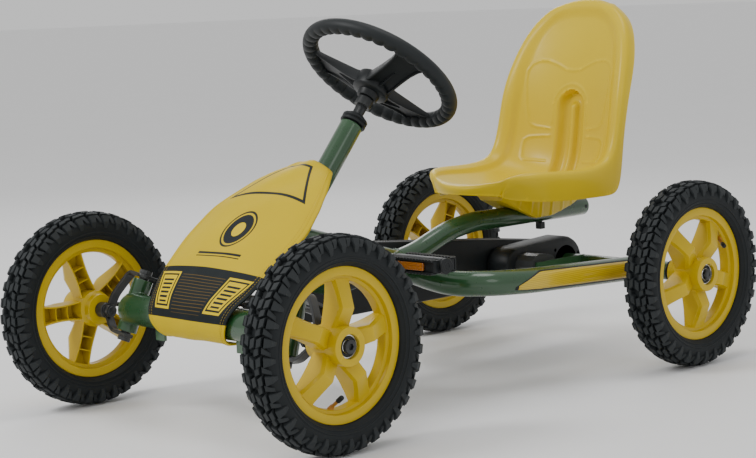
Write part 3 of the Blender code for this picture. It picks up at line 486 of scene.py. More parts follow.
class Shape:
    """Collects the closed pieces of one object, in metres except where a method says otherwise."""

    def __init__(self):
        self.points = []
        self.faces = []
        self.kinds = []
        self.layers = {}

    def add(self, points, faces, kind=0, matrix=None):
        """kind is the number of the piece's material."""
        base = len(self.points)
        if matrix is not None:
            turn = np.array(matrix, float)
            points = np.asarray(points, float) @ turn[:3, :3].T + turn[:3, 3]
        self.points.extend(tuple(map(float, p)) for p in points)
        self.faces.extend(tuple(base + i for i in face) for face in faces)
        self.kinds.extend([kind] * len(faces))
        return self

    def loft(self, rings, kind=0, loop=False, matrix=None):
        """Skins over rings that have the same number of points each, and caps an open skin's ends."""
        rings = np.asarray(rings, float)
        rows, count = rings.shape[:2]
        faces = []
        for i in range(rows if loop else rows - 1):
            a, b = i * count, (i + 1) % rows * count
            for j in range(count):
                k = (j + 1) % count
                faces.append((a + j, a + k, b + k, b + j))
        if not loop:
            faces.append(tuple(range(count))[::-1])
            faces.append(tuple((rows - 1) * count + j for j in range(count)))
        return self.add(rings.reshape(-1, 3), faces, kind, matrix)

    def loft_mm(self, rings, kind=0, loop=False, matrix=None):
        return self.loft(np.array(rings, float) / 1000, kind, loop, matrix)

    def lathe(self, profile, steps=48, kind=0, matrix=None, ring=False):
        """Turns (radius, height) points in mm about local Z; a ring's profile closes on itself."""
        rings = []
        for radius, height in profile:
            rings.append(np.column_stack([circle(steps, max(radius, 0.01)), np.full(steps, height)]))
        return self.loft_mm(rings, kind, ring, matrix)

    def sweep(self, path, radius, sides, ends=0.0):
        """A round bar along a path; ends rounds its two ends by that much."""
        path = np.asarray([tuple(p) for p in path], float)
        tangents = unit_rows(np.gradient(path, axis=0))
        side = np.cross(tangents[0], UP)
        flat = circle(sides)
        rings = []
        for point, tangent in zip(path, tangents):
            side = unit_rows(side - side.dot(tangent) * tangent)
            other = np.cross(tangent, side)
            rings.append(point + radius * (flat[:, :1] * side + flat[:, 1:] * other))
        if ends:
            for where, tangent in ((0, -tangents[0]), (-1, tangents[-1])):
                ring, centre = rings[where], path[where]
                extra = []
                for turn in (0.35, 0.7, 1.05, 1.4):
                    shrink = 1 - ends / radius * (1 - math.cos(turn))
                    extra.append(centre + (ring - centre) * shrink + tangent * ends * math.sin(turn))
                rings = extra[::-1] + rings if where == 0 else rings + extra
        return self.loft(rings)

    def box(self, low, high, matrix=None):
        low, high = np.array(low, float), np.array(high, float)
        corners = [low + (high - low) * (i >> 2 & 1, i >> 1 & 1, i & 1) for i in range(8)]
        faces = [(0, 1, 3, 2), (4, 6, 7, 5), (0, 4, 5, 1), (2, 3, 7, 6), (0, 2, 6, 4), (1, 5, 7, 3)]
        return self.add(corners, faces, matrix=matrix)

    def slab(self, outline, low, high, edge, matrix):
        """An outline in local XY between two heights, with rounded edges of that size."""
        rings = []
        for height, sign in ((low, 1), (high, -1)):
            part = []
            for lift, inset in ((0, 1), (0.3, 0.29), (1, 0)):
                row = inset_outline(outline, edge * inset)
                part.append(np.column_stack([row, np.full(len(row), height + sign * edge * lift)]))
            rings.extend(part[::sign])
        return self.loft(rings, matrix=matrix)

    def stack(self, rows, matrix, loop=False):
        """Skins over rings at heights in mm; each ring's size is one number or one for every turn."""
        rings = []
        for sizes, height in rows:
            sizes = np.broadcast_to(sizes, HEX_STEPS)[:, None]
            rings.append(np.column_stack([circle(HEX_STEPS) * sizes, np.full(HEX_STEPS, height)]))
        return self.loft_mm(rings, loop=loop, matrix=matrix)

    def grid(self, rows, kind=0):
        """One open sheet over rows of points."""
        rows = np.asarray(rows, float)
        count = rows.shape[1]
        corners = [i * count + j for i in range(len(rows) - 1) for j in range(count - 1)]
        faces = [(a, a + 1, a + count + 1, a + count) for a in corners]
        return self.add(rows.reshape(-1, 3), faces, kind)

    def make(self, name, *materials, angle=38, closed=True):
        """The object; edges sharper than the angle stay sharp."""
        mesh = bpy.data.meshes.new(name)
        mesh.from_pydata(self.points, [], self.faces)
        mesh.polygons.foreach_set("material_index", self.kinds)
        for layer, values in self.layers.items():
            uv = mesh.uv_layers.new(name=layer)
            for loop in mesh.loops:
                uv.data[loop.index].uv = values[loop.vertex_index]
        if closed:
            cage = bmesh.new()
            cage.from_mesh(mesh)
            bmesh.ops.recalc_face_normals(cage, faces=cage.faces)
            cage.to_mesh(mesh)
            cage.free()
        for material in materials:
            mesh.materials.append(material)
        mesh.shade_smooth()
        mesh.set_sharp_from_angle(angle=math.radians(angle))
        obj = bpy.data.objects.new(name, mesh)
        bpy.context.scene.collection.objects.link(obj)
        return obj

    def show(self, node, slot, *materials, angle=38, at=None, soft=None):
        """The object at its matrix, its edges softened, shown in place of its CAD node."""
        obj = self.make(f"{node}_fine", *materials, angle=angle)
        if at is not None:
            obj.matrix_world = at
        if soft:
            soften(obj, *soft)
        stands_for(obj, node)


def soften(obj, width, segments=2, angle=35):
    bevel = obj.modifiers.new("soft_edges", "BEVEL")
    bevel.width = width
    bevel.segments = segments
    bevel.limit_method = "ANGLE"
    bevel.angle_limit = math.radians(angle)
    bevel.harden_normals = False


def thicken(obj, name, thickness, offset):
    """Gives a sheet its thickness, in metres."""
    skin = obj.modifiers.new(name, "SOLIDIFY")
    skin.thickness = thickness
    skin.offset = offset


def goes_with(obj, node):
    """The piece rides on the CAD node's body."""
    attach(obj, frame["nodes"][node]["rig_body"])


def stands_for(obj, node):
    """The piece rides on its CAD node's body and is shown in its place."""
    goes_with(obj, node)
    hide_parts(node)


# ---------------------------------------------------------------- wheels

# In mm: the hub's two ends, where the bearing sits, and how far out a front axle's bolt head starts
HUB_OUT = 33.5
HUB_IN = -35.5
BEARING_LOW = 18.8
BEARING_HIGH = 28.8
BOLT_HEAD = BEARING_HIGH + 0.3

# The tyre's half profile without its tread: radius and distance from the middle plane, in mm
CROWN = (
    (151.6, 0), (151.3, 8), (149.9, 15), (147, 20.8), (142.8, 24.6),
    (137.4, 26.6), (131, 27), (124, 25.4), (118.5, 22.6), (115, 19.2),
)
PITCHES = 36
# Rows of tread blocks on one side of the crown: nearest and farthest distance from it, shift and width in
# pitches, height near the crown and far from it, skew (rad/m) of even and odd blocks, taper
TREAD = (
    (1.0, 9.6, 0.06, 0.54, 8.4, 8.4, (-3.5, 4.5), 0),
    (7.0, 15.0, 0.5, 0.40, 6.6, 6.6, (-3.5, -3.5), 0),
    (11.0, 18.2, 0, 0.50, 8.4, 8.4, (-5, -5), 0),
    (19.6, 37.0, 0, 0.58, 9.0, 0.8, (0, 0), 0.60),
    (16.8, 29.0, 0.5, 0.38, 6.0, 2.0, (4, 4), 0.40),
)
BLOCK_RAMP = 0.9
# Degrees by which each rim is turned, and where round it the valve is
RIM_TURN = {"front_left": -7, "front_right": -19, "rear_left": 183, "rear_right": 20}
VALVE_TURN = {"front_left": 171, "front_right": 95, "rear_left": -56, "rear_right": 55}


def tread_block(shape, path, lengths, row, step, sign):
    """One rubber block on the carcass, whose half profile and its run lengths are given."""
    near, far, shift, wide, height, end_height, skews, taper = row
    centre = (near + far) / 2
    stations = (near, near + BLOCK_RAMP, centre, far - BLOCK_RAMP, far)
    rings = []
    for at, lift in zip(stations, (0.35, 1, 1, 1, 0.35)):
        share = (at - near) / (far - near)
        rise = (height + (end_height - height) * share) * lift
        (r, z), (r2, z2) = ([np.interp(d, lengths, path[:, k]) for k in (0, 1)] for d in (at, at + 1))
        size = math.hypot(z2 - z, r - r2)
        turn = 2 * math.pi / PITCHES * (step + sign * shift) + skews[step % 2] * (at - centre) / 1000
        half = math.pi / PITCHES * wide * (1 - taper * share)
        ring = []
        for side, depth in mirrored([(-1, -0.5), (-0.97, rise * 0.75), (-0.86, rise)]):
            radial = r + (z2 - z) / size * depth
            a = turn + side * half
            ring.append((radial * math.cos(a), radial * math.sin(a), sign * (z + (r - r2) / size * depth)))
        rings.append(ring)
    shape.loft_mm(rings)


def tyre_mesh():
    path = smooth_path(CROWN, 10)
    lengths = run_lengths(path)
    ridges = [
        (127.5, 26.4), (126.8, 27.1), (125.5, 26.9), (124.8, 25.6), (121.5, 24.2), (120.9, 24.7), (120, 24.4),
        (119.4, 23.1),
    ]
    side = [tuple(p) for p in path[3::3] if p[0] > 128.5 or p[0] < 117.5]
    side = sorted(side + ridges, key=lambda p: -p[0])
    side += [(114.2, 17.5), (113.9, 15), (114.2, 12.2)]
    side += [(130, 23.5), (142.5, 19.6), (148.2, 10)]
    shape = Shape()
    shape.lathe([CROWN[0], *side, (149.4, 0), *((r, -z) for r, z in side[::-1])], 144, ring=True)
    for step in range(PITCHES):
        for sign in (1, -1):
            for row in TREAD:
                tread_block(shape, path, lengths, row, step, sign)
    return shape.make("tyre", RUBBER, angle=30).data


def rim_mesh():
    """A moulded wheel: a rounded channel, five deep hollow spokes with ribs, and the hub."""
    shape = Shape()
    ring = [
        (113.7, 15), (113.4, 15.8), (112.7, 16.1), (101.2, 16.1), (100.2, 15.8), (99.7, 15), (99.2, 10), (98.8, 9.2),
        (97.8, 8.8), (95, 8.6), (94, 8), (93.2, 6.6), (92.2, -6), (93, -9), (99, -9.8), (99.6, -11), (100, -15.2),
        (100.6, -15.9), (112.6, -16.1), (113.5, -15.5), (113.7, -14.8), (113.7, -12.8), (102, -9), (101, -8),
        (101, 8), (102, 9), (113.7, 12.8),
    ]
    shape.lathe(ring, 120, ring=True)
    hub = [
        (18.1, 33), (18.6, HUB_OUT), (27.8, HUB_OUT), (28.6, 33.1), (29, 32.2), (29.2, 14), (30, -14), (29.6, -20),
        (26.2, -24), (25.4, -25.2), (25, -34.5), (24.2, HUB_IN), (12.5, HUB_IN), (11.5, -34.5), (11.5, 18.3),
        (17.9, 18.3), (17.9, 33),
    ]
    shape.lathe(hub, 64, ring=True)
    # Radius, half width, and the heights of a spoke's front and back
    stations = (
        (23.5, 15.8, 15, -15), (30, 15, 16.5, -14.8), (40, 14.2, 20.5, -14.5), (52, 13.4, 25.6, -14),
        (54.5, 13.3, 26.2, -13.9), (56, 13.2, 25.8, -13.8), (65, 13.2, 22.2, -13.3), (75, 13.7, 18, -12.8),
        (85, 14.7, 13.4, -12.2), (90, 15.5, 11.2, -11.5), (93, 16.4, 10, -10.8), (95.5, 17.6, 9.2, -10),
    )
    wall = 2.8
    rings = []
    for r, half, front, back in stations:
        pad = half * 0.66
        shoulder = front - 6.2
        left = [
            (-half, back + 0.8), (-half, shoulder - 1), (0.8 - half, shoulder), (-pad - 2.2, front - 0.6),
            (-pad, front),
        ]
        inside = [(half - wall / 2, back), (half - wall, back + 0.8), (half - wall, front - 8.5)]
        outline = mirrored(left) + mirrored(inside)
        rings.append([(r, x, z) for x, z in outline])
    rib = [(-11.8, -10.5), (-6, -8.5), (0, -7.8), (6, -8.5), (11.8, -10.5), (11.8, 9), (-11.8, 9)]
    for i in range(5):
        turn = Matrix.Rotation(2 * math.pi * i / 5, 4, "Z")
        shape.loft_mm(rings, matrix=turn)
        for at in (48, 70):
            shape.loft_mm([[(at + side, x, z) for x, z in rib] for side in (-1, 1)], matrix=turn)
    return shape.make("rim", RIM_YELLOW, angle=24).data


def bearing_mesh():
    shape = Shape()
    for kind, inner, outer, drop in ((0, 15.2, 17.5, 0), (1, 10.6, 15.2, 0.9), (0, 7.8, 10.6, 0.2)):
        top = BEARING_HIGH - drop
        profile = [
            (outer, BEARING_LOW), (outer, top - 0.5), (outer - 0.5, top), (inner + 0.4, top), (inner, top - 0.4),
            (inner, BEARING_LOW),
        ]
        shape.lathe(profile, 48, kind, ring=True)
    return shape.make("bearing", BRIGHT, BLACK, angle=30).data


def valve_mesh():
    """The tyre's air valve: a boss in the rim, a brass-coloured stem and a black cap."""
    shape = Shape()
    foot = placed((0.0930, 0, 0.002), -LEFTWARDS, UP)
    shape.lathe([(0, 0), (4.6, 0), (4.6, 2.8), (3.6, 4), (0, 4)], 20, 0, foot)
    stem = placed((0.0905, 0, 0.002), (-0.62, 0, 0.78), REARWARDS)
    shape.lathe([(0, -4), (3.6, -4), (3.4, 4), (2.6, 5), (2.6, 20), (0, 20)], 20, 0, stem)
    shape.lathe([(0, 17.5), (3.6, 17.5), (3.9, 18.5), (3.9, 27.5), (3.1, 29), (0, 29)], 10, 1, stem)
    return shape.make("valve", VALVE, BLACK, angle=30).data


def wheels():
    meshes = {"tyre": tyre_mesh(), "rim": rim_mesh(), "bearing": bearing_mesh(), "valve": valve_mesh()}
    for kind in meshes:
        bpy.data.objects.remove(bpy.data.objects[kind])
    for place in PLACES:
        base = placed(WHEEL_AT[place], LEFTWARDS if place.endswith("left") else -LEFTWARDS, UP)
        for kind, mesh in meshes.items():
            piece = bpy.data.objects.new(f"{kind}_{place}_fine", mesh)
            bpy.context.scene.collection.objects.link(piece)
            turn = {"rim": RIM_TURN, "valve": VALVE_TURN}.get(kind, {}).get(place, 0)
            piece.matrix_world = base @ Matrix.Rotation(math.radians(turn), 4, "Z")
            if kind == "valve":
                goes_with(piece, f"rim_{place}")
            else:
                stands_for(piece, f"{kind}_{place}")


HEX_STEPS = 36
HEX_TURNS = 2 * np.pi * np.arange(HEX_STEPS) / HEX_STEPS
# A hexagon's size in each of those directions, where its corners are at 1
HEXAGON = math.cos(math.pi / 6) / np.cos((HEX_TURNS + np.pi / 6) % (np.pi / 3) - np.pi / 6)


def socket_head(shape, radius, low, high, key, matrix):
    """A round bolt head with a hexagon socket, in mm."""
    edge = 0.9
    rows = [
        (0.01, low), (radius, low), (radius, high - edge), (radius - edge * 0.3, high - edge * 0.3),
        (radius - edge, high), (key * HEXAGON + 0.4, high), (key * HEXAGON, high - 0.4),
        (key * HEXAGON, high - 3.4), (0.01, high - 3.8),
    ]
    shape.stack(rows, matrix)


def hex_nut(shape, radius, bore, low, high, matrix):
    """A hexagon nut with chamfered corners round a bolt's end, in mm."""
    full = radius * HEXAGON
    cut = np.minimum(full, radius * 0.90)
    rows = [(bore, low), (cut, low), (full, low + 0.8), (full, high - 0.8), (cut, high), (bore, high)]
    shape.stack(rows, matrix, loop=True)


def axles():
    """The spindle bolts and nuts of the front wheels, the rear axle and its nuts."""
    for word, side in SIDES:
        at = placed(WHEEL_AT[f"front_{word}"], side * LEFTWARDS, UP)
        bolt = Shape()
        shank = [(0, -66.5), (6.8, -66.5), (7.5, -65.8), (7.5, BOLT_HEAD + 1), (0, BOLT_HEAD + 1)]
        bolt.lathe(shank, 32, matrix=at)
        socket_head(bolt, 10.3, BOLT_HEAD, BOLT_HEAD + 6, 5, at)
        bolt.show(f"spindle_bolt_{word}", "black_steel", BLACK_METAL)
        nut = Shape()
        hex_nut(nut, 11, 7.6, -65, -57.5, at)
        nut.lathe([(7.8, -57.2), (11.8, -57.2), (11.8, -56), (7.8, -56)], 32, ring=True, matrix=at)
        nut.show(f"spindle_nut_{word}", "black_steel", BLACK_METAL)

    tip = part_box("rear_axle")[1].x * 1000
    end = tip - 1.2
    step = WHEEL_AT["rear_left"].x * 1000 + HUB_IN - 1
    half = [(0, end), (6.4, end), (7.5, end - 1), (7.5, step), (9.2, step), (9.8, step - 1)]
    at = placed((0, AXLE_Y, AXLE_Z), LEFTWARDS, UP)
    axle = Shape().lathe(half + [(r, -x) for r, x in half[::-1]], 40, matrix=at)
    axle.show("rear_axle", "bright_steel", BRIGHT)
    nut_low, nut_high = (corner.x * 1000 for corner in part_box("axle_nut_left"))
    for word, side in SIDES:
        nut = Shape()
        at = placed((0, AXLE_Y, AXLE_Z), side * LEFTWARDS, UP)
        hex_nut(nut, 10.5, 7.7, nut_low, nut_high, at)
        socket_head(nut, 8.4, end + 0.2, tip, 3.5, at)
        nut.show(f"axle_nut_{word}", "black_steel", BLACK_METAL)


# ---------------------------------------------------------------- steering

# In mm: the ring's radius, its grip's radius and the depth of the notches between the finger grips
RING_RADIUS = 128
GRIP_RADIUS = 13.4
GRIP_DEPTH = 3
GRIPS = 40
SPOKE_TURNS = (20, 160, 270)


def grip_ring():
    around, section = 400, 28
    rings = []
    for turn in 2 * np.pi * np.arange(around) / around:
        notch = 1 - abs(math.sin(turn * GRIPS / 2)) ** 0.7
        ring = []
        for a in 2 * np.pi * np.arange(section) / section:
            # Deepest on the inside and on the side away from the driver
            away = max(0.0, -math.cos(a - 0.80)) ** 0.55
            radius = GRIP_RADIUS - GRIP_DEPTH * away * notch
            out = RING_RADIUS + radius * math.cos(a)
            ring.append((out * math.cos(turn), out * math.sin(turn), radius * math.sin(a)))
        rings.append(ring)
    return rings


def spoke():
    # Distance from the column, half width, lower and upper height
    stations = (
        (18, 23.5, -33, -13), (30, 23, -31.5, -12), (45, 22.5, -27.5, -9), (65, 22.2, -21, -5),
        (85, 22.8, -14.5, -1.4), (102, 25, -9.5, 1), (112, 28.5, -6.6, 2.2), (120, 34.5, -5.2, 3),
    )
    rings = []
    for r, half, low, high in stations:
        dip = 2.2 if 30 < r < 110 else 0.6
        top = [
            (-half, high - 2), (1 - half, high - 0.4), (2.4 - half, high), (-half * 0.62, high),
            (-half * 0.52, high - dip),
        ]
        under = [(half, low + 1.5), (half - 1.5, low), (half - 3.5, low), (half - 4, low + 3.4)]
        rings.append([(r, x, z) for x, z in mirrored(top) + mirrored(under)])
    return rings


def steering():
    at = placed(STEERING_AT, COLUMN, LEFTWARDS)
    shape = Shape().loft_mm(grip_ring(), loop=True)
    hub = [
        (0, -8.5), (15, -8.8), (16.5, -10), (28.5, -10), (30.8, -11.2), (31.6, -14), (31.6, -34.5), (30.4, -37.2),
        (28.8, -38.4), (19, -40), (17.5, -48), (16.5, -50), (0, -50),
    ]
    shape.lathe(hub, 48, 1)
    web = []
    for r, low, high in ((18, -40, -20), (40, -31, -18), (70, -17.5, -10)):
        web.append([(r, -1.2, low), (r, 1.2, low), (r, 1.2, high), (r, -1.2, high)])
    for turn in SPOKE_TURNS:
        across = Matrix.Rotation(math.radians(-turn), 4, "Z")
        shape.loft_mm(spoke(), 1, matrix=across)
        shape.loft_mm(web, 1, matrix=across)
    shape.lathe([(0, -6.5), (9, -6.7), (12.2, -7.6), (13, -9), (13, -11), (0, -11)], 40, 1)
    shape.show("steering_wheel", "black_plastic", SOFT_BLACK, BLACK, angle=34, at=at)

    end = (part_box("steering_shaft")[0].z - STEERING_AT.z) / COLUMN.z * 1000 + 13
    shaft = Shape()
    shaft.lathe([(0, -50.3), (9.2, -50.3), (9.5, -51), (9.5, end + 1), (8.6, end), (0, end)], 36)
    collar = [(9.4, -51.5), (13.2, -51.5), (13.8, -52.5), (13.8, -66), (13.2, -66.8), (9.4, -66.8)]
    shaft.lathe(collar, 36, ring=True)
    socket_head(shaft, 4.2, 12.5, 17, 2.2, placed((0, 0, -0.0592), REARWARDS, LEFTWARDS))
    shaft.show("steering_shaft", "black_steel", BLACK_METAL, angle=30, at=at)

    bush = [
        (9.9, 19), (14, 19), (15.2, 18.2), (15.6, 15), (21.2, 14), (22, 13), (22, 9.8), (20.5, 8.8), (20, 7.8),
        (20.5, 6.8), (22, 5.8), (22, 2.5), (21.2, 1.6), (16.2, 1.6), (16.2, -19), (9.9, -19),
    ]
    at = placed(middle("upper_steering_bush"), COLUMN, LEFTWARDS)
    Shape().lathe(bush, 56, ring=True).show("upper_steering_bush", "black_plastic", BLACK, angle=30, at=at)


# ---------------------------------------------------------------- frame tubes

MAIN_RADIUS = 0.0195
HEAD_RADIUS = 0.019
DOWN_RADIUS = 0.0155
SEAT_TUBE_RADIUS = 0.0175
SIDE_RADIUS = 0.021
HOUSING_RADIUS = 0.016
BEAM_RADIUS = 0.025
BEAD = 0.0024
MAIN_REAR = Vector((0, 0.030, 0.200))
MAIN_FRONT = Vector((0, -0.225, 0.276))
SEAT_Z = 0.2545
SEAT_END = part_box("seat_tube")[1].y
SEAT_PATH = (
    (0, -0.004, 0.2078), (0, 0.050, 0.2185), (0, 0.130, 0.2445), (0, 0.195, SEAT_Z), (0, 0.235, SEAT_Z),
    (0, SEAT_END - 0.003, SEAT_Z),
)
DOWN_PATH = ((0, -0.150, 0.372), (0, -0.205, 0.360), (0, -0.280, 0.303), (0, -0.345, 0.230), (0, -0.3715, 0.146))
SIDE_PATH = (
    (0.006, -0.0092, 0.2050), (0.122, 0.008, 0.181), (0.170, 0.040, 0.179), (0.190, 0.100, 0.176),
    (0.196, 0.206, 0.1715), (0.198, AXLE_Y - 0.006, 0.163),
)
# Where the strip on a side tube starts and ends, and its half width in degrees round the tube
STRIP_SPAN = (0.078, 0.384)
STRIP_SPREAD = 50


def weld(shape, start, direction, radius, axis):
    """A weld bead where a branch tube leaves another, whose axis is a point, a direction and a radius."""
    at = placed(start, direction, (0.13, 0.2, 1))
    spot, along = np.array(axis[0], float), np.array(Vector(axis[1]).normalized(), float)
    run = np.array(at.col[2][:3])
    steps = np.linspace(0, 0.12, 240)
    count = 72
    bead = []
    for a, b in circle(count, radius):
        origin = np.array(at @ Vector((a, b, 0)), float)
        off = origin + steps[:, None] * run - spot
        off -= np.outer(off @ along, along)
        inside = np.nonzero(np.linalg.norm(off, axis=1) < axis[2])[0]
        bead.append(origin + run * (steps[inside[-1]] if len(inside) else 0.0))
    bead = np.array(bead)
    rings = []
    for i in range(count):
        tangent = unit_rows(bead[(i + 1) % count] - bead[i - 1])
        out = bead[i] - bead.mean(0)
        out = unit_rows(out - out.dot(tangent) * tangent)
        other = np.cross(tangent, out)
        size = BEAD * (1 + 0.16 * math.sin(i * 2.2))
        rings.append([bead[i] + size * (a * out + b * other) for a, b in circle(10)])
    shape.loft(rings, loop=True)


def tubes():
    column_axis = (STEERING_AT, COLUMN, HEAD_RADIUS)
    main_axis = (MAIN_REAR, MAIN_FRONT - MAIN_REAR, MAIN_RADIUS)
    rear_axis = ((0, AXLE_Y, AXLE_Z), LEFTWARDS, HOUSING_RADIUS)

    line = [MAIN_REAR.lerp(MAIN_FRONT, t) for t in np.linspace(0.02, 0.99, 12)]
    shape = Shape().sweep(line, MAIN_RADIUS, 40, 0.004)
    weld(shape, MAIN_FRONT, MAIN_REAR - MAIN_FRONT, MAIN_RADIUS, column_axis)
    shape.show("main_tube", "green_paint", PAINT)

    line = [STEERING_AT + COLUMN * t for t in np.linspace(-0.107, -0.352, 14)]
    shape = Shape().sweep(line, HEAD_RADIUS, 44)
    lip = [(16.5, -1.2), (19.1, -1.2), (19.6, 0), (19.1, 1.2), (16.5, 1.2)]
    for t in (-0.1065, -0.3515):
        shape.lathe(lip, 44, ring=True, matrix=placed(STEERING_AT + COLUMN * t, COLUMN, LEFTWARDS))
    shape.show("head_tube", "green_paint", PAINT)

    path = smooth_path(DOWN_PATH, 12)
    shape = Shape().sweep(path[2:], DOWN_RADIUS, 36)
    weld(shape, DOWN_PATH[0], path[3] - path[0], DOWN_RADIUS, column_axis)
    shape.show("front_down_tube", "green_paint", PAINT)

    # The seat tube, with a dark pin through its rear end
    path = smooth_path(SEAT_PATH, 12)
    shape = Shape().sweep(path, SEAT_TUBE_RADIUS, 40, 0.003)
    weld(shape, SEAT_PATH[0], path[8] - path[0], SEAT_TUBE_RADIUS, main_axis)
    for _, side in SIDES:
        pin = placed((side * SEAT_TUBE_RADIUS, SEAT_END - 0.010, SEAT_Z), side * LEFTWARDS, UP)
        shape.lathe([(0, -3), (3.2, -3), (3.2, 0.4), (0, 0.4)], 20, 1, pin)
    shape.show("seat_tube", "green_paint", PAINT, BLACK)

    for word, side in SIDES:
        path = smooth_path([(side * x, y, z) for x, y, z in SIDE_PATH], 14)
        shape = Shape().sweep(path, SIDE_RADIUS, 44)
        weld(shape, path[0], path[6] - path[0], SIDE_RADIUS, main_axis)
        weld(shape, path[-1], path[-4] - path[-1], SIDE_RADIUS, rear_axis)
        shape.show(f"side_tube_{word}", "green_paint", PAINT)
        strip(word, side, path)

    bush = [(10.4, 0), (16.5, 0), (18.3, -0.8), (19, -2), (19, -3.6), (13.3, -3.6), (13.3, -23.6), (10.4, -23.6)]
    for word, side in SIDES:
        near, far = reach_across(f"axle_housing_{word}")
        line = [(side * x, AXLE_Y, AXLE_Z) for x in np.linspace(near, far, 8)]
        Shape().sweep(line, HOUSING_RADIUS, 36).show(f"axle_housing_{word}", "green_paint", PAINT)
        end = side * reach_across(f"axle_bush_{word}")[1]
        shape = Shape().lathe(bush, 44, ring=True, matrix=placed((end, AXLE_Y, AXLE_Z), side * LEFTWARDS, UP))
        shape.show(f"axle_bush_{word}", "black_plastic", BLACK)


def strip(word, side, path):
    """A plain tapered yellow strip with a dark border on the outside of a side tube."""
    keep = np.array([p for p in path if STRIP_SPAN[0] < p[1] < STRIP_SPAN[1]])
    lengths = (keep[:, 1] - keep[0, 1]) / (keep[-1, 1] - keep[0, 1])
    runs = unit_rows(np.gradient(keep, axis=0))
    shape = Shape()
    # The border, then the yellow on it: material, height over the tube, share of the width and of the length
    for kind, lift, wide, long in ((1, 0.00045, 1.0, 1.0), (0, 0.00085, 0.80, 0.962)):
        rows = []
        for t in 0.5 + (np.linspace(0, 1, 40) - 0.5) * long:
            point = np.array([np.interp(t, lengths, keep[:, i]) for i in range(3)])
            run = np.array([np.interp(t, lengths, runs[:, i]) for i in range(3)])
            out = side * np.cross(run, UP)
            rise = side * np.cross(out, run)
            taper = min(1.0, 0.14 + 5.0 * t) * min(1.0, 0.30 + (1.0 - t) * 26)
            centre = 6 - 30 * max(0.0, 1 - 5.5 * t)
            turns = np.radians(centre + STRIP_SPREAD * wide * taper * np.linspace(-1, 1, 13))
            radius = SIDE_RADIUS + lift
            rows.append([point + radius * (math.cos(a) * out + math.sin(a) * rise) for a in turns])
        shape.grid(rows, kind)
    film = shape.make(f"side_strip_{word}", STRIP, SOFT_BLACK, angle=60)
    thicken(film, "film", 0.0002, 0)
    goes_with(film, f"side_tube_{word}")


def kingpin_axis(side):
    return Vector((-0.118 * side, 0.365, 0.924)).normalized()


def front_beam():
    shape = Shape()
    y = WHEEL_AT["front_left"].y
    shape.sweep([(x, y, 0.168) for x in np.linspace(-0.184, 0.184, 20)], BEAM_RADIUS, 48, 0.003)
    for word, side in SIDES:
        at = middle(f"kingpin_{word}")
        lean = kingpin_axis(side)
        shape.sweep([at + lean * t for t in np.linspace(-0.0425, 0.0425, 8)], 0.0165, 36, 0.001)
        weld(shape, at, (-side, -0.28, 0), 0.0215, (at, lean, 0.0168))
        x = side * 0.100
        shape.box((x - 0.011, -0.422, 0.126), (x + 0.011, -0.417, 0.150))
    shape.show("front_beam", "green_paint", PAINT, soft=(0.0007,))


STRAP_THICK = 0.006
STRAP_LEVEL = 0.0495
STRAP_BEND = 0.009
STRAP_KNOTS = (
    (-0.012, STRAP_LEVEL), (0.034, STRAP_LEVEL), (0.0580, 0.006), (0.0580, -0.028), (0.030, -STRAP_LEVEL),
    (-0.012, -STRAP_LEVEL),
)
STEERING_ARM_END = (-0.020, 0.072)


def strap():
    """Rings along the bent strap in its own plane: its middle line out from the kingpin and up."""
    knots = [Vector((x, y, 0)) for x, y in STRAP_KNOTS]
    line = [knots[0], knots[0].lerp(knots[1], 0.5)]
    for before, corner, after in zip(knots, knots[1:], knots[2:]):
        line += bend(before, corner, after, STRAP_BEND, 7)
    line = np.array([*line, knots[-1].lerp(knots[-2], 0.5), knots[-1]])
    along = unit_rows(np.gradient(line, axis=0))
    thick = STRAP_THICK / 2
    rings = []
    for (x, y, _), (run_x, run_y, _) in zip(line, along):
        # Widest round the kingpin's two ends
        half = float(np.interp(x, (-0.012, -0.004, 0.012, 0.024), (0.0090, 0.0115, 0.0115, 0.0078)))
        low = mirrored([(-thick, 0.001 - half), (0.001 - thick, -half)])
        section = low + [(a, -b) for a, b in low[::-1]]
        rings.append([(x - run_y * a, y + run_x * a, b) for a, b in section])
    return rings


def knuckles():
    """A bent strap round each kingpin housing, with its steering arm and the boss of the spindle."""
    boss = [
        (7.8, -52.5), (11.5, -52.5), (12.5, -51.5), (12.5, HUB_IN - 1.5), (11.8, HUB_IN - 0.5),
        (7.8, HUB_IN - 0.5),
    ]
    arm_x, arm_y = STEERING_ARM_END
    for word, side in SIDES:
        centre = middle(f"kingpin_{word}")
        up = kingpin_axis(side)
        rear = -LEFTWARDS.cross(up).normalized()
        out = side * rear.cross(up)
        shape = Shape().loft(strap(), matrix=axes(centre - rear * 0.002, out, up, out.cross(up)))
        arm = belt([(0, 0, 0.013), (arm_x, side * arm_y, 0.010)])
        shape.slab(arm, -0.0025, 0.0025, 0.0008, axes(centre + up * STRAP_LEVEL, out, side * rear, up))
        shape.lathe(boss, 40, ring=True, matrix=placed(WHEEL_AT[f"front_{word}"], side * LEFTWARDS, UP))
        shape.show(f"knuckle_{word}", "black_steel", BLACK_METAL, angle=30)


# ---------------------------------------------------------------- drive


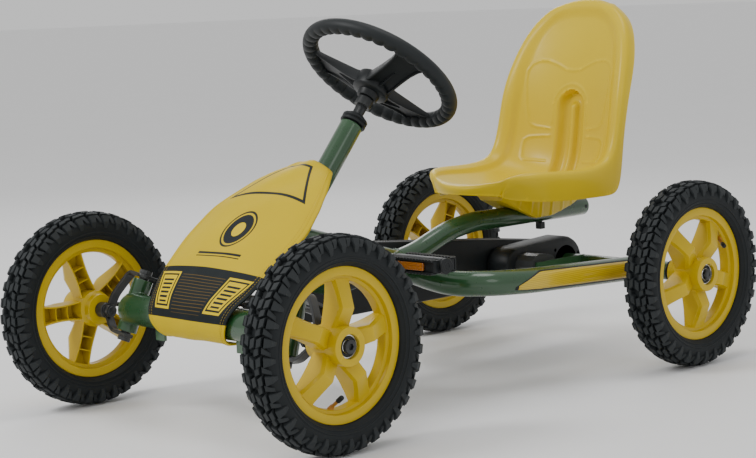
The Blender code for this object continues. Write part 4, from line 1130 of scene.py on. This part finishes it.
def crank():
    """A bent bar with the pedals' spindles at its ends."""
    left, right = middle("pedal_left"), middle("pedal_right")
    left_arm_x, right_arm_x, left_bend_x = 0.072, -0.0712, 0.046
    start = Vector((left_arm_x, left.y, left.z))
    end = Vector((right_arm_x, right.y, right.z))
    left_bend = Vector((left_bend_x, CRANK_AT.y, CRANK_AT.z))
    right_bend = Vector((right_arm_x, CRANK_AT.y, CRANK_AT.z))
    path = [start, start.lerp(left_bend, 0.5)]
    path += bend(start, left_bend, right_bend, 0.016, 9)
    path += [left_bend.lerp(right_bend, t) for t in (0.35, 0.65)]
    path += bend(left_bend, right_bend, end, 0.016, 9)
    path += [right_bend.lerp(end, 0.55), end]
    shape = Shape().sweep(path, 0.0085, 28, 0.002)
    spindle = [
        (0, 65), (11.2, 65), (12.4, 66.2), (12.5, 77.2), (11.5, 78.5), (6.2, 78.7), (5.5, 79.5), (5.5, 176.5),
        (0, 177),
    ]
    for at, side in ((start, 1), (end, -1)):
        shape.lathe(spindle, 32, matrix=placed((0, at.y, at.z), side * LEFTWARDS, UP))
    shape.show("crank", "bright_steel", BLACK_METAL)


RAIL_TEETH = 15


def pedals():
    """Plastic pedals with toothed rails, a barrel, an end cap and a reflector."""
    for word, side in SIDES:
        centre = middle(f"pedal_{word}")
        near, far = reach_across(f"pedal_{word}")
        at = placed((side * near, centre.y, centre.z), side * LEFTWARDS, REARWARDS)
        long = (far - near) * 1000
        shape = Shape()
        barrel = [
            (6.4, 0), (11.8, 0), (13, 1), (13.3, 3), (13.3, long - 7.5), (12.7, long - 7), (12.7, long - 4.5),
            (13.3, long - 3.8), (13.3, long - 1.4), (11.8, long), (6, long), (5, long - 1.2), (0, long - 1.4),
            (0, long - 11), (6.4, long - 12),
        ]
        shape.lathe(barrel, 36, ring=True, matrix=at)
        start, end = 0.0015, far - near - 0.0075
        for face in (1, -1):
            for x0, x1 in ((16.5, 28.5), (-28.5, -16.5)):
                rings = []
                for i, z in enumerate(np.linspace(start, end, RAIL_TEETH * 4 + 1) * 1000):
                    low, high = face * 8.6, face * (11.3 + (0.0, 1.3, 1.5, 0.3)[i % 4])
                    rings.append([(x0, low, z), (x1, low, z), (x1, high, z), (x0, high, z)])
                shape.loft_mm(rings, matrix=at)
        for x0, x1 in ((0.0255, 0.0283), (-0.0232, -0.0215)):
            shape.box((x0, -0.0095, start), (x1, 0.0095, end), at)
        for z, reach in ((start, 0.0283), ((start + end) / 2 + 0.004, 0.0262), (end - 0.004, 0.0240)):
            shape.box((-reach, -0.0105, z), (reach, 0.0105, z + 0.004), at)
        shape.show(f"pedal_{word}", "black_plastic", BLACK, angle=30, soft=(0.0005,))
        first, last = (x - near for x in reach_across(f"pedal_reflector_{word}"))
        lens = Shape().box((-0.0278, -0.0064, first + 0.008), (-0.0238, 0.0064, last + 0.027), at)
        lens.show(f"pedal_reflector_{word}", "orange_reflector", REFLECTOR, soft=(0.0008, 3))


def cases():
    """The chain case with a seam round it, and the rear hub's cover; both lie in the side view's plane."""
    rear = (AXLE_Y, AXLE_Z)
    low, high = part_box("chain_guard")
    width = high.x - low.x
    at = placed((low.x, 0, 0), LEFTWARDS, REARWARDS)
    outline = belt([(CRANK_AT.y, CRANK_AT.z, 0.066), (0.285, 0.172, 0.040), (*rear, 0.036)])
    shape = Shape().slab(outline, 0, width, 0.0045, at)
    seam = []
    for i, p in enumerate(outline):
        tangent = unit_rows(outline[(i + 1) % len(outline)] - outline[i - 1])
        out = np.array((tangent[1], -tangent[0]))
        seam.append([(*(p + out * a * 0.0010), width / 2 + b * 0.0016) for a, b in circle(8)])
    shape.loft(seam, loop=True, matrix=at)
    for y, z in ((0.02, 0.150), (0.16, 0.190), (0.34, 0.142), (0.24, 0.20)):
        spot = placed((high.x, y, z), LEFTWARDS, REARWARDS)
        socket_head(shape, 4, -0.6, 0, 1.9, spot)
    shape.show("chain_guard", "black_plastic", BLACK, angle=30)

    low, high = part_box("hub_cover")
    outline = belt([(*rear, 0.046), (0.290, 0.166, 0.033)])
    at = placed((low.x, 0, 0), LEFTWARDS, REARWARDS)
    shape = Shape().slab(outline, 0, high.x - low.x, 0.0070, at)
    collar = [(12.5, -2.8), (12.5, 0), (30, 0), (31.5, -1.2), (31.5, -2.8)]
    shape.lathe(collar, 48, matrix=placed((high.x, *rear), LEFTWARDS, REARWARDS), ring=True)
    for turn in (20, 140, 260):
        a = math.radians(turn)
        spot = (high.x, rear[0] + 0.037 * math.cos(a), rear[1] + 0.037 * math.sin(a))
        screw = [(0, -2.2), (4, -2.2), (4, -0.6), (3.2, 0), (0, 0)]
        shape.lathe(screw, 24, matrix=placed(spot, LEFTWARDS, REARWARDS))
    shape.show("hub_cover", "black_plastic", BLACK, angle=30)


# ---------------------------------------------------------------- seat

# Rows across the seat, in mm: middle (y, z), edge (y, z), half width, rim's lower edge (y, z), its tuck
SEAT_ROWS = (
    (156, 306, 186, 304, 76, 188, 303, 12), (149, 326, 183, 332, 82, 189, 303, 18),
    (185, 321, 205, 338, 108, 212, 297, 28), (240, 311, 250, 339, 128, 252, 292, 12),
    (310, 305, 310, 336, 136, 310, 290, 3), (370, 301.5, 360, 338, 138, 374, 289.5, 0),
    (420, 307, 398, 348, 138, 411, 290, 0), (446, 332, 416, 379, 136, 424, 325, 0),
    (458, 385, 427, 419, 134, 434, 385, 0), (466, 450, 437, 468, 133, 453, 460, 0),
    (476, 510, 458, 520, 126, 481, 514, 0), (492, 567, 482, 569, 111, 502, 562, 0),
    (506, 609, 502, 604, 87, 520, 596, 0), (512, 633, 508, 623, 52, 528, 615, 0),
    (531, 627, 527, 619, 48, 529, 615, 0),
)
# Fine raised outlines on the right half of the back, in mm (x, z): a two-shouldered panel and a small square
SHIELD = (
    (0, 504.5), (18, 507), (38, 516), (58, 522.5), (78, 523.5), (92, 518), (100, 506), (100.5, 485), (96, 445),
    (90, 416), (83, 406), (70, 402), (44, 399),
)
SQUARE = ((44, 386), (85, 384), (93, 379), (95, 370), (93, 348), (87, 342), (45, 340))
SHELL_THICK = 0.0045


def spline_weights(count, steps):
    """Rows of cubic B-spline weights for a clamped curve over count control points."""
    knots = np.concatenate([[0] * 3, np.linspace(0, 1, count - 2), [1] * 3])
    made = np.zeros((steps, count))
    for row, t in enumerate(np.linspace(0, 1 - 1e-9, steps)):
        basis = np.array([1.0 if a <= t < b else 0.0 for a, b in zip(knots, knots[1:])])
        for degree in (1, 2, 3):
            fresh = np.zeros(len(basis) - 1)
            for i in range(len(fresh)):
                left, right = knots[i + degree] - knots[i], knots[i + degree + 1] - knots[i + 1]
                if left > 0:
                    fresh[i] += (t - knots[i]) / left * basis[i]
                if right > 0:
                    fresh[i] += (knots[i + degree + 1] - t) / right * basis[i + 1]
            basis = fresh
        made[row] = basis
    return made


def smooth_step(value, low, high):
    t = np.clip((value - low) / (high - low), 0, 1)
    return t * t * (3 - 2 * t)


def seat_surface():
    """The seat's surface without its rim and grooves, its normals, and each point's share of the half width."""
    shares = (0, 0.2, 0.4, 0.6, 0.8, 0.93, 1.0)
    cage = []
    for my, mz, ey, ez, half, ly, lz, tuck in np.array(SEAT_ROWS) / 1000:
        right = [(half * s, my + (ey - my) * s**2.2, mz + (ez - mz) * s**2.2) for s in shares]
        out = half + 0.007
        right.append((out, ey + (ly - ey) * 0.10, ez + (lz - ez) * 0.10))
        right.append((out + 0.001 - tuck * 0.4, ey + (ly - ey) * 0.55, ez + (lz - ez) * 0.55))
        right.append((out - tuck, ly, lz))
        cage.append([(-x, y, z) for x, y, z in right[:0:-1]] + right)
    cage = np.array(cage)
    reach = [*shares, 1.08, 1.2, 1.3]
    along, across = spline_weights(cage.shape[0], 300), spline_weights(cage.shape[1], 171)
    surface = np.einsum("ri,ijk,cj->rck", along, cage, across)
    share = np.abs(across @ [*(-s for s in reach[:0:-1]), *reach])[None, :] * np.ones((len(along), 1))
    normal = unit_rows(np.cross(np.gradient(surface, axis=1), np.gradient(surface, axis=0)))
    if normal[150, 85, 2] < 0:
        normal = -normal
    return surface, normal, share


def seat_shell():
    surface, normal, share = seat_surface()
    x, y, z = (surface[..., i] for i in range(3))

    def near_line(points):
        """Each point's distance to a line of (x, z) points, drawn on both halves of the back."""
        best = np.full(x.shape, 1.0)
        for (ax, az), (bx, bz) in zip(points, points[1:]):
            run = np.array((bx - ax, bz - az))
            t = ((np.abs(x) - ax) * run[0] + (z - az) * run[1]) / (run @ run)
            t = np.clip(t, 0, 1)
            best = np.minimum(best, np.hypot(np.abs(x) - ax - t * run[0], z - az - t * run[1]))
        return best

    # The wide rolled rim round the back and along the pan
    top_share = np.clip((z - 0.50) / 0.131, 0, 1) * (y > 0.4)
    rim_share = (share**4 + top_share**4) ** 0.25
    crease = 0.055 + 0.055 * smooth_step(z, 0.42, 0.54)
    lift = 0.0052 * smooth_step(rim_share, 0.86 - crease, 0.86 + crease) * smooth_step(y, 0.172, 0.215)

    # The wide channel down the middle of the back, with its raised spine
    on_back = smooth_step(y, 0.392, 0.432)
    arch = np.sqrt(np.clip(1 - (np.maximum(z - 0.435, 0) / 0.034) ** 2, 0, 1))
    inside = 1 - smooth_step(np.abs(x) / np.maximum(0.030 * arch, 1e-4), 0.62, 1.12)
    channel = inside * on_back * smooth_step(z, 0.300, 0.325) * (z < 0.4695)
    spine = np.exp(-((x / 0.0068) ** 4)) * on_back * (1 - smooth_step(z, 0.440, 0.452))
    lift += -0.0165 * channel + 0.0120 * spine * channel

    # The fine outlines, the last one an arch over the channel
    over = [(41 * math.cos(a), 437 + 43 * math.sin(a)) for a in np.linspace(0, math.pi / 2, 12)]
    for line in (SHIELD, SQUARE, [(41, 410), *over]):
        ridge = np.exp(-((near_line(np.array(line) / 1000) / 0.0017) ** 2))
        lift += 0.0014 * ridge * smooth_step(y, 0.40, 0.425)

    top = surface + normal * lift[..., None]
    bottom = surface + normal * (np.minimum(lift, 0) - SHELL_THICK)[..., None]
    rows, columns = top.shape[:2]
    count = rows * columns
    faces = []
    for i in range(rows - 1):
        for j in range(columns - 1):
            face = [i * columns + j, i * columns + j + 1, (i + 1) * columns + j + 1, (i + 1) * columns + j]
            faces.append(face)
            faces.append([count + a for a in face[::-1]])
    edge = [(0, j) for j in range(columns)] + [(i, columns - 1) for i in range(1, rows)]
    edge += [(rows - 1, j) for j in range(columns - 2, -1, -1)] + [(i, 0) for i in range(rows - 2, 0, -1)]
    edge = [i * columns + j for i, j in edge]
    for a, b in zip(edge, edge[1:] + edge[:1]):
        faces.append((a, count + a, count + b, b))
    shape = Shape().add(np.concatenate([top.reshape(-1, 3), bottom.reshape(-1, 3)]), faces)
    shape.show("seat_shell", "yellow_plastic", SEAT_YELLOW, angle=60, soft=(0.0012, 3, 50))


def seat_mount():
    """The square clamp screw below the seat tube, and the saddle on it, ribbed outside."""
    low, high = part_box("seat_clamp_screw")
    x, y = (low.x + high.x) / 2, (low.y + high.y) / 2
    head, rise = 0.0062, (high.z - low.z) * 1000
    shape = Shape().box((x - head, y - head, low.z), (x + head, y + head, low.z + 0.0125))
    shape.lathe([(0, 11), (3.6, 11), (3.6, rise), (0, rise)], 24, matrix=Matrix.Translation((x, y, low.z)))
    shape.show("seat_clamp_screw", "black_steel", BLACK, soft=(0.0009,))

    low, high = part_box("seat_saddle")
    hold = SEAT_TUBE_RADIUS + 0.0008
    top = 0.0415
    rings = []
    for t in np.linspace(0, 1, 84):
        place = low.y - 0.020 * (1 - t) + (high.y - low.y) * t
        # Its cheeks reach lowest in the middle
        reach = np.interp(t, (0, 0.36, 0.56, 0.80, 1), (0.0330, -0.0052, -0.0040, 0.0105, 0.0300))
        flare = 0.0270 + 0.0060 * np.interp(t, (0, 0.3, 0.7, 1), (0.2, 1, 0.9, 0.2))
        if any(abs(t - rib) < 0.012 for rib in (0.16, 0.28, 0.40, 0.52, 0.64, 0.76, 0.88)):
            flare += 0.0014
        ring = [(hold + 0.0002, reach)]
        ring += [(hold * math.cos(a), max(reach, hold * math.sin(a))) for a in np.linspace(0, math.pi, 17)]
        ring += [(-hold - 0.0002, reach)]
        ring += mirrored([(0.003 - flare, reach), (-flare, reach + 0.003), (-flare - 0.006, top)])
        rings.append([(a, place, SEAT_Z + b) for a, b in ring])
    Shape().loft(rings).show("seat_saddle", "yellow_plastic", SEAT_YELLOW, angle=40)


# ---------------------------------------------------------------- soft cover

# Rows across the cover, in mm: half width, y, z, and how far the middle swells forwards and up
COVER_ROWS = (
    (50, -180, 376.5, 2, 16), (78, -211.6, 364.9, 5, 15), (100, -243, 347, 6, 14.5), (121, -279.5, 323.8, 7, 13.5),
    (130, -310, 298.5, 8, 12.5), (130.5, -340, 275.5, 8, 11.5), (123, -378.1, 245.6, 8, 10.5), (118, -400, 228, 7, 6),
    (112, -415, 214, 7, 5), (102, -432, 198, 6, 3), (95, -444, 180, 4, 1), (89, -445.5, 162, 2, 0),
    (81, -437, 145, 0, 0), (78, -422, 137.5, 0, 0), (78, -404, 138, 0, 0),
)
# The heights of the dark band's two edges on the middle line, and the badge's place as a share of the way to it
BAND_HEIGHTS = (0.2380, 0.1720)
BADGE_SHARE = 0.684
FLAP_SHARES = (1.0, 0.78, 0.55, 0.32, 0.12)


def cover_row(row, length, whole, normal, shares):
    """One row across the cover as (point, share of the half width, distance across the flat cloth)."""
    half, y, z, forward, up = row
    drop = np.interp(length, (0, 0.03, 0.17, 0.24, 0.30, whole), (0.007, 0.008, 0.008, 0.006, 0.004, 0.002))
    flaps = []
    for side in (-1, 1):
        flap = []
        for t in FLAP_SHARES:
            inward = 0.0080 * t * t * min(1.0, drop / 0.008)
            ripple = 0.0007 * math.sin(length * 130 + side) * t
            point = np.array((side * (half + 0.0012 - inward + ripple), y, z)) - normal * drop * t
            flap.append((point, side * (1 + 0.14 * t), side * (half + drop * t)))
        flaps.append(flap)
    top = []
    for s in shares:
        swell = 1 - abs(s) ** 2.5
        point = np.array((half * s, y - forward * swell, z + up * swell))
        welt = 0.0011 * math.exp(-(((abs(s) - 0.935) / 0.010) ** 2))
        pull = 0.0011 * math.sin(s * 7.0 + length * 34) * math.exp(-((length - 0.02) / 0.05) ** 2)
        sag = 0.0008 * math.sin(length * 57 + 2.1 * math.sin(3 * s)) * swell
        hem = 0.0010 if length < 0.010 or length > whole - 0.010 else 0
        top.append((point + normal * (welt + pull + sag + hem), s, half * s))
    return flaps[0] + top + flaps[1][::-1]


def sheet_area(grid):
    area = 0.0
    for a, b in zip(grid, grid[1:]):
        step = np.linalg.norm(b - a, axis=1)
        across = (np.linalg.norm(np.diff(a, axis=0), axis=1) + np.linalg.norm(np.diff(b, axis=0), axis=1)) / 2
        area += float((across * (step[1:] + step[:-1]) / 2).sum())
    return area


def cover():
    rows = smooth_path(np.array(COVER_ROWS) / 1000, 9)
    lengths = run_lengths(rows[:, 1:3])
    tangent = unit_rows(np.gradient(rows[:, 1:3], axis=0))
    shares = np.concatenate([np.linspace(-1, -0.86, 12), np.linspace(-0.84, 0.84, 57), np.linspace(0.86, 1, 12)])
    grid, cloth, share_map = [], [], []
    for row, length, (run_y, run_z) in zip(rows, lengths, tangent):
        whole = cover_row(row, length, lengths[-1], np.array((0, run_z, -run_y)), shares)
        grid.append([point for point, _, _ in whole])
        cloth.extend((x, length) for _, _, x in whole)
        share_map.extend((s, length) for _, s, _ in whole)
    shape = Shape().grid(grid)
    shape.layers = {"cloth": cloth, "share": share_map}
    front = rows[:, 1].argmin() + 12
    band_top, band_bottom = (float(lengths[np.abs(rows[:front, 2] - z).argmin()]) for z in BAND_HEIGHTS)
    look = cover_look(band_top, band_bottom, band_top * BADGE_SHARE)
    sheet = shape.make("soft_cover", look, angle=60, closed=False)
    thicken(sheet, "cloth", 0.0012, -1)
    grid = np.array(grid)
    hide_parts("hood_cover", "beam_cover")
    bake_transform(sheet)
    round(sheet_area(grid), 4)


# ---------------------------------------------------------------- the rest of the CAD nodes

# Each node's material and the width of its softened edges
CAD_LOOKS = {
    "torque_arm": (PAINT, 0.0008),
    "crank_housing": (PAINT, 0.0006),
    "lower_steering_bush": (BLACK, 0.0006),
    "hub_bracket": (BLACK_METAL, 0.0010),
    "pitman_arm": (BLACK_METAL, 0.0008),
    "tie_rod_left": (BLACK_METAL, 0.0005),
    "tie_rod_right": (BLACK_METAL, 0.0005),
    "kingpin_left": (BLACK_METAL, 0.0007),
    "kingpin_right": (BLACK_METAL, 0.0007),
    "swing_bolt": (STEEL, 0.0007),
    "chain": (BLACK_METAL, None),
    "chainring": (STEEL, 0.0004),
    "rear_sprocket": (STEEL, 0.0004),
}


def dress_cad():
    for node, (look, edge) in CAD_LOOKS.items():
        obj = frame["nodes"][node]
        obj.data.materials.clear()
        obj.data.materials.append(look)
        obj.data.shade_smooth()
        obj.data.set_sharp_from_angle(angle=math.radians(35))
        if edge:
            soften(obj, edge, 2, 40)


# ---------------------------------------------------------------- studio

FLOOR_HALF = 80.0
WORLD_STRENGTH = 0.74
LAMP_TARGET = Vector((0, 0, 0.25))
# Name, place, width in metres and power in watts
LAMPS = (
    ("key", (-1.1, -2.6, 2.9), 1.3, 62), ("side", (3.2, -0.6, 1.9), 1.5, 9), ("top", (0.3, 0.4, 3.2), 1.6, 22),
    ("back", (-2.4, 1.9, 1.8), 1.4, 12),
)
CAMERA_AT = (2.3111, -2.2248, 0.6411)
CAMERA_YAW, CAMERA_PITCH, CAMERA_ROLL = (math.radians(turn) for turn in (46.54, 6.7, -2.2))
CAMERA_LENS = 91.46
SENSOR_WIDTH = 36


def studio():
    places = np.linspace(-FLOOR_HALF, FLOOR_HALF, 3)
    rows = [[(x, y, -0.0002) for y in places] for x in places]
    Shape().grid(rows).make("floor", floor_look(), closed=False)

    world = bpy.data.worlds.new("studio")
    bpy.context.scene.world = world
    world.use_nodes = True
    background = world.node_tree.nodes["Background"]
    background.inputs["Color"].default_value = (1.0, 1.0, 1.0, 1)
    background.inputs["Strength"].default_value = WORLD_STRENGTH

    for name, place, wide, power in LAMPS:
        data = bpy.data.lights.new(name, "AREA")
        data.shape = "DISK"
        data.size = wide
        data.energy = power
        lamp = bpy.data.objects.new(name, data)
        bpy.context.scene.collection.objects.link(lamp)
        lamp.location = place
        lamp.rotation_mode = "QUATERNION"
        lamp.rotation_quaternion = (LAMP_TARGET - Vector(place)).to_track_quat("-Z", "Y")

    level = math.cos(CAMERA_PITCH)
    ahead = Vector((-math.sin(CAMERA_YAW) * level, math.cos(CAMERA_YAW) * level, -math.sin(CAMERA_PITCH)))
    right = Vector((math.cos(CAMERA_YAW), math.sin(CAMERA_YAW), 0))
    over = right.cross(ahead)
    across = right * math.cos(CAMERA_ROLL) + over * math.sin(CAMERA_ROLL)
    upwards = over * math.cos(CAMERA_ROLL) - right * math.sin(CAMERA_ROLL)
    data = bpy.data.cameras.new("camera")
    data.sensor_width = SENSOR_WIDTH
    data.lens = CAMERA_LENS
    camera = bpy.data.objects.new("camera", data)
    bpy.context.scene.collection.objects.link(camera)
    camera.matrix_world = axes(CAMERA_AT, across, upwards, -ahead)
    bpy.context.scene.camera = camera


wheels()
axles()
steering()
tubes()
front_beam()
knuckles()
crank()
pedals()
cases()
seat_shell()
seat_mount()
cover()
dress_cad()
studio()
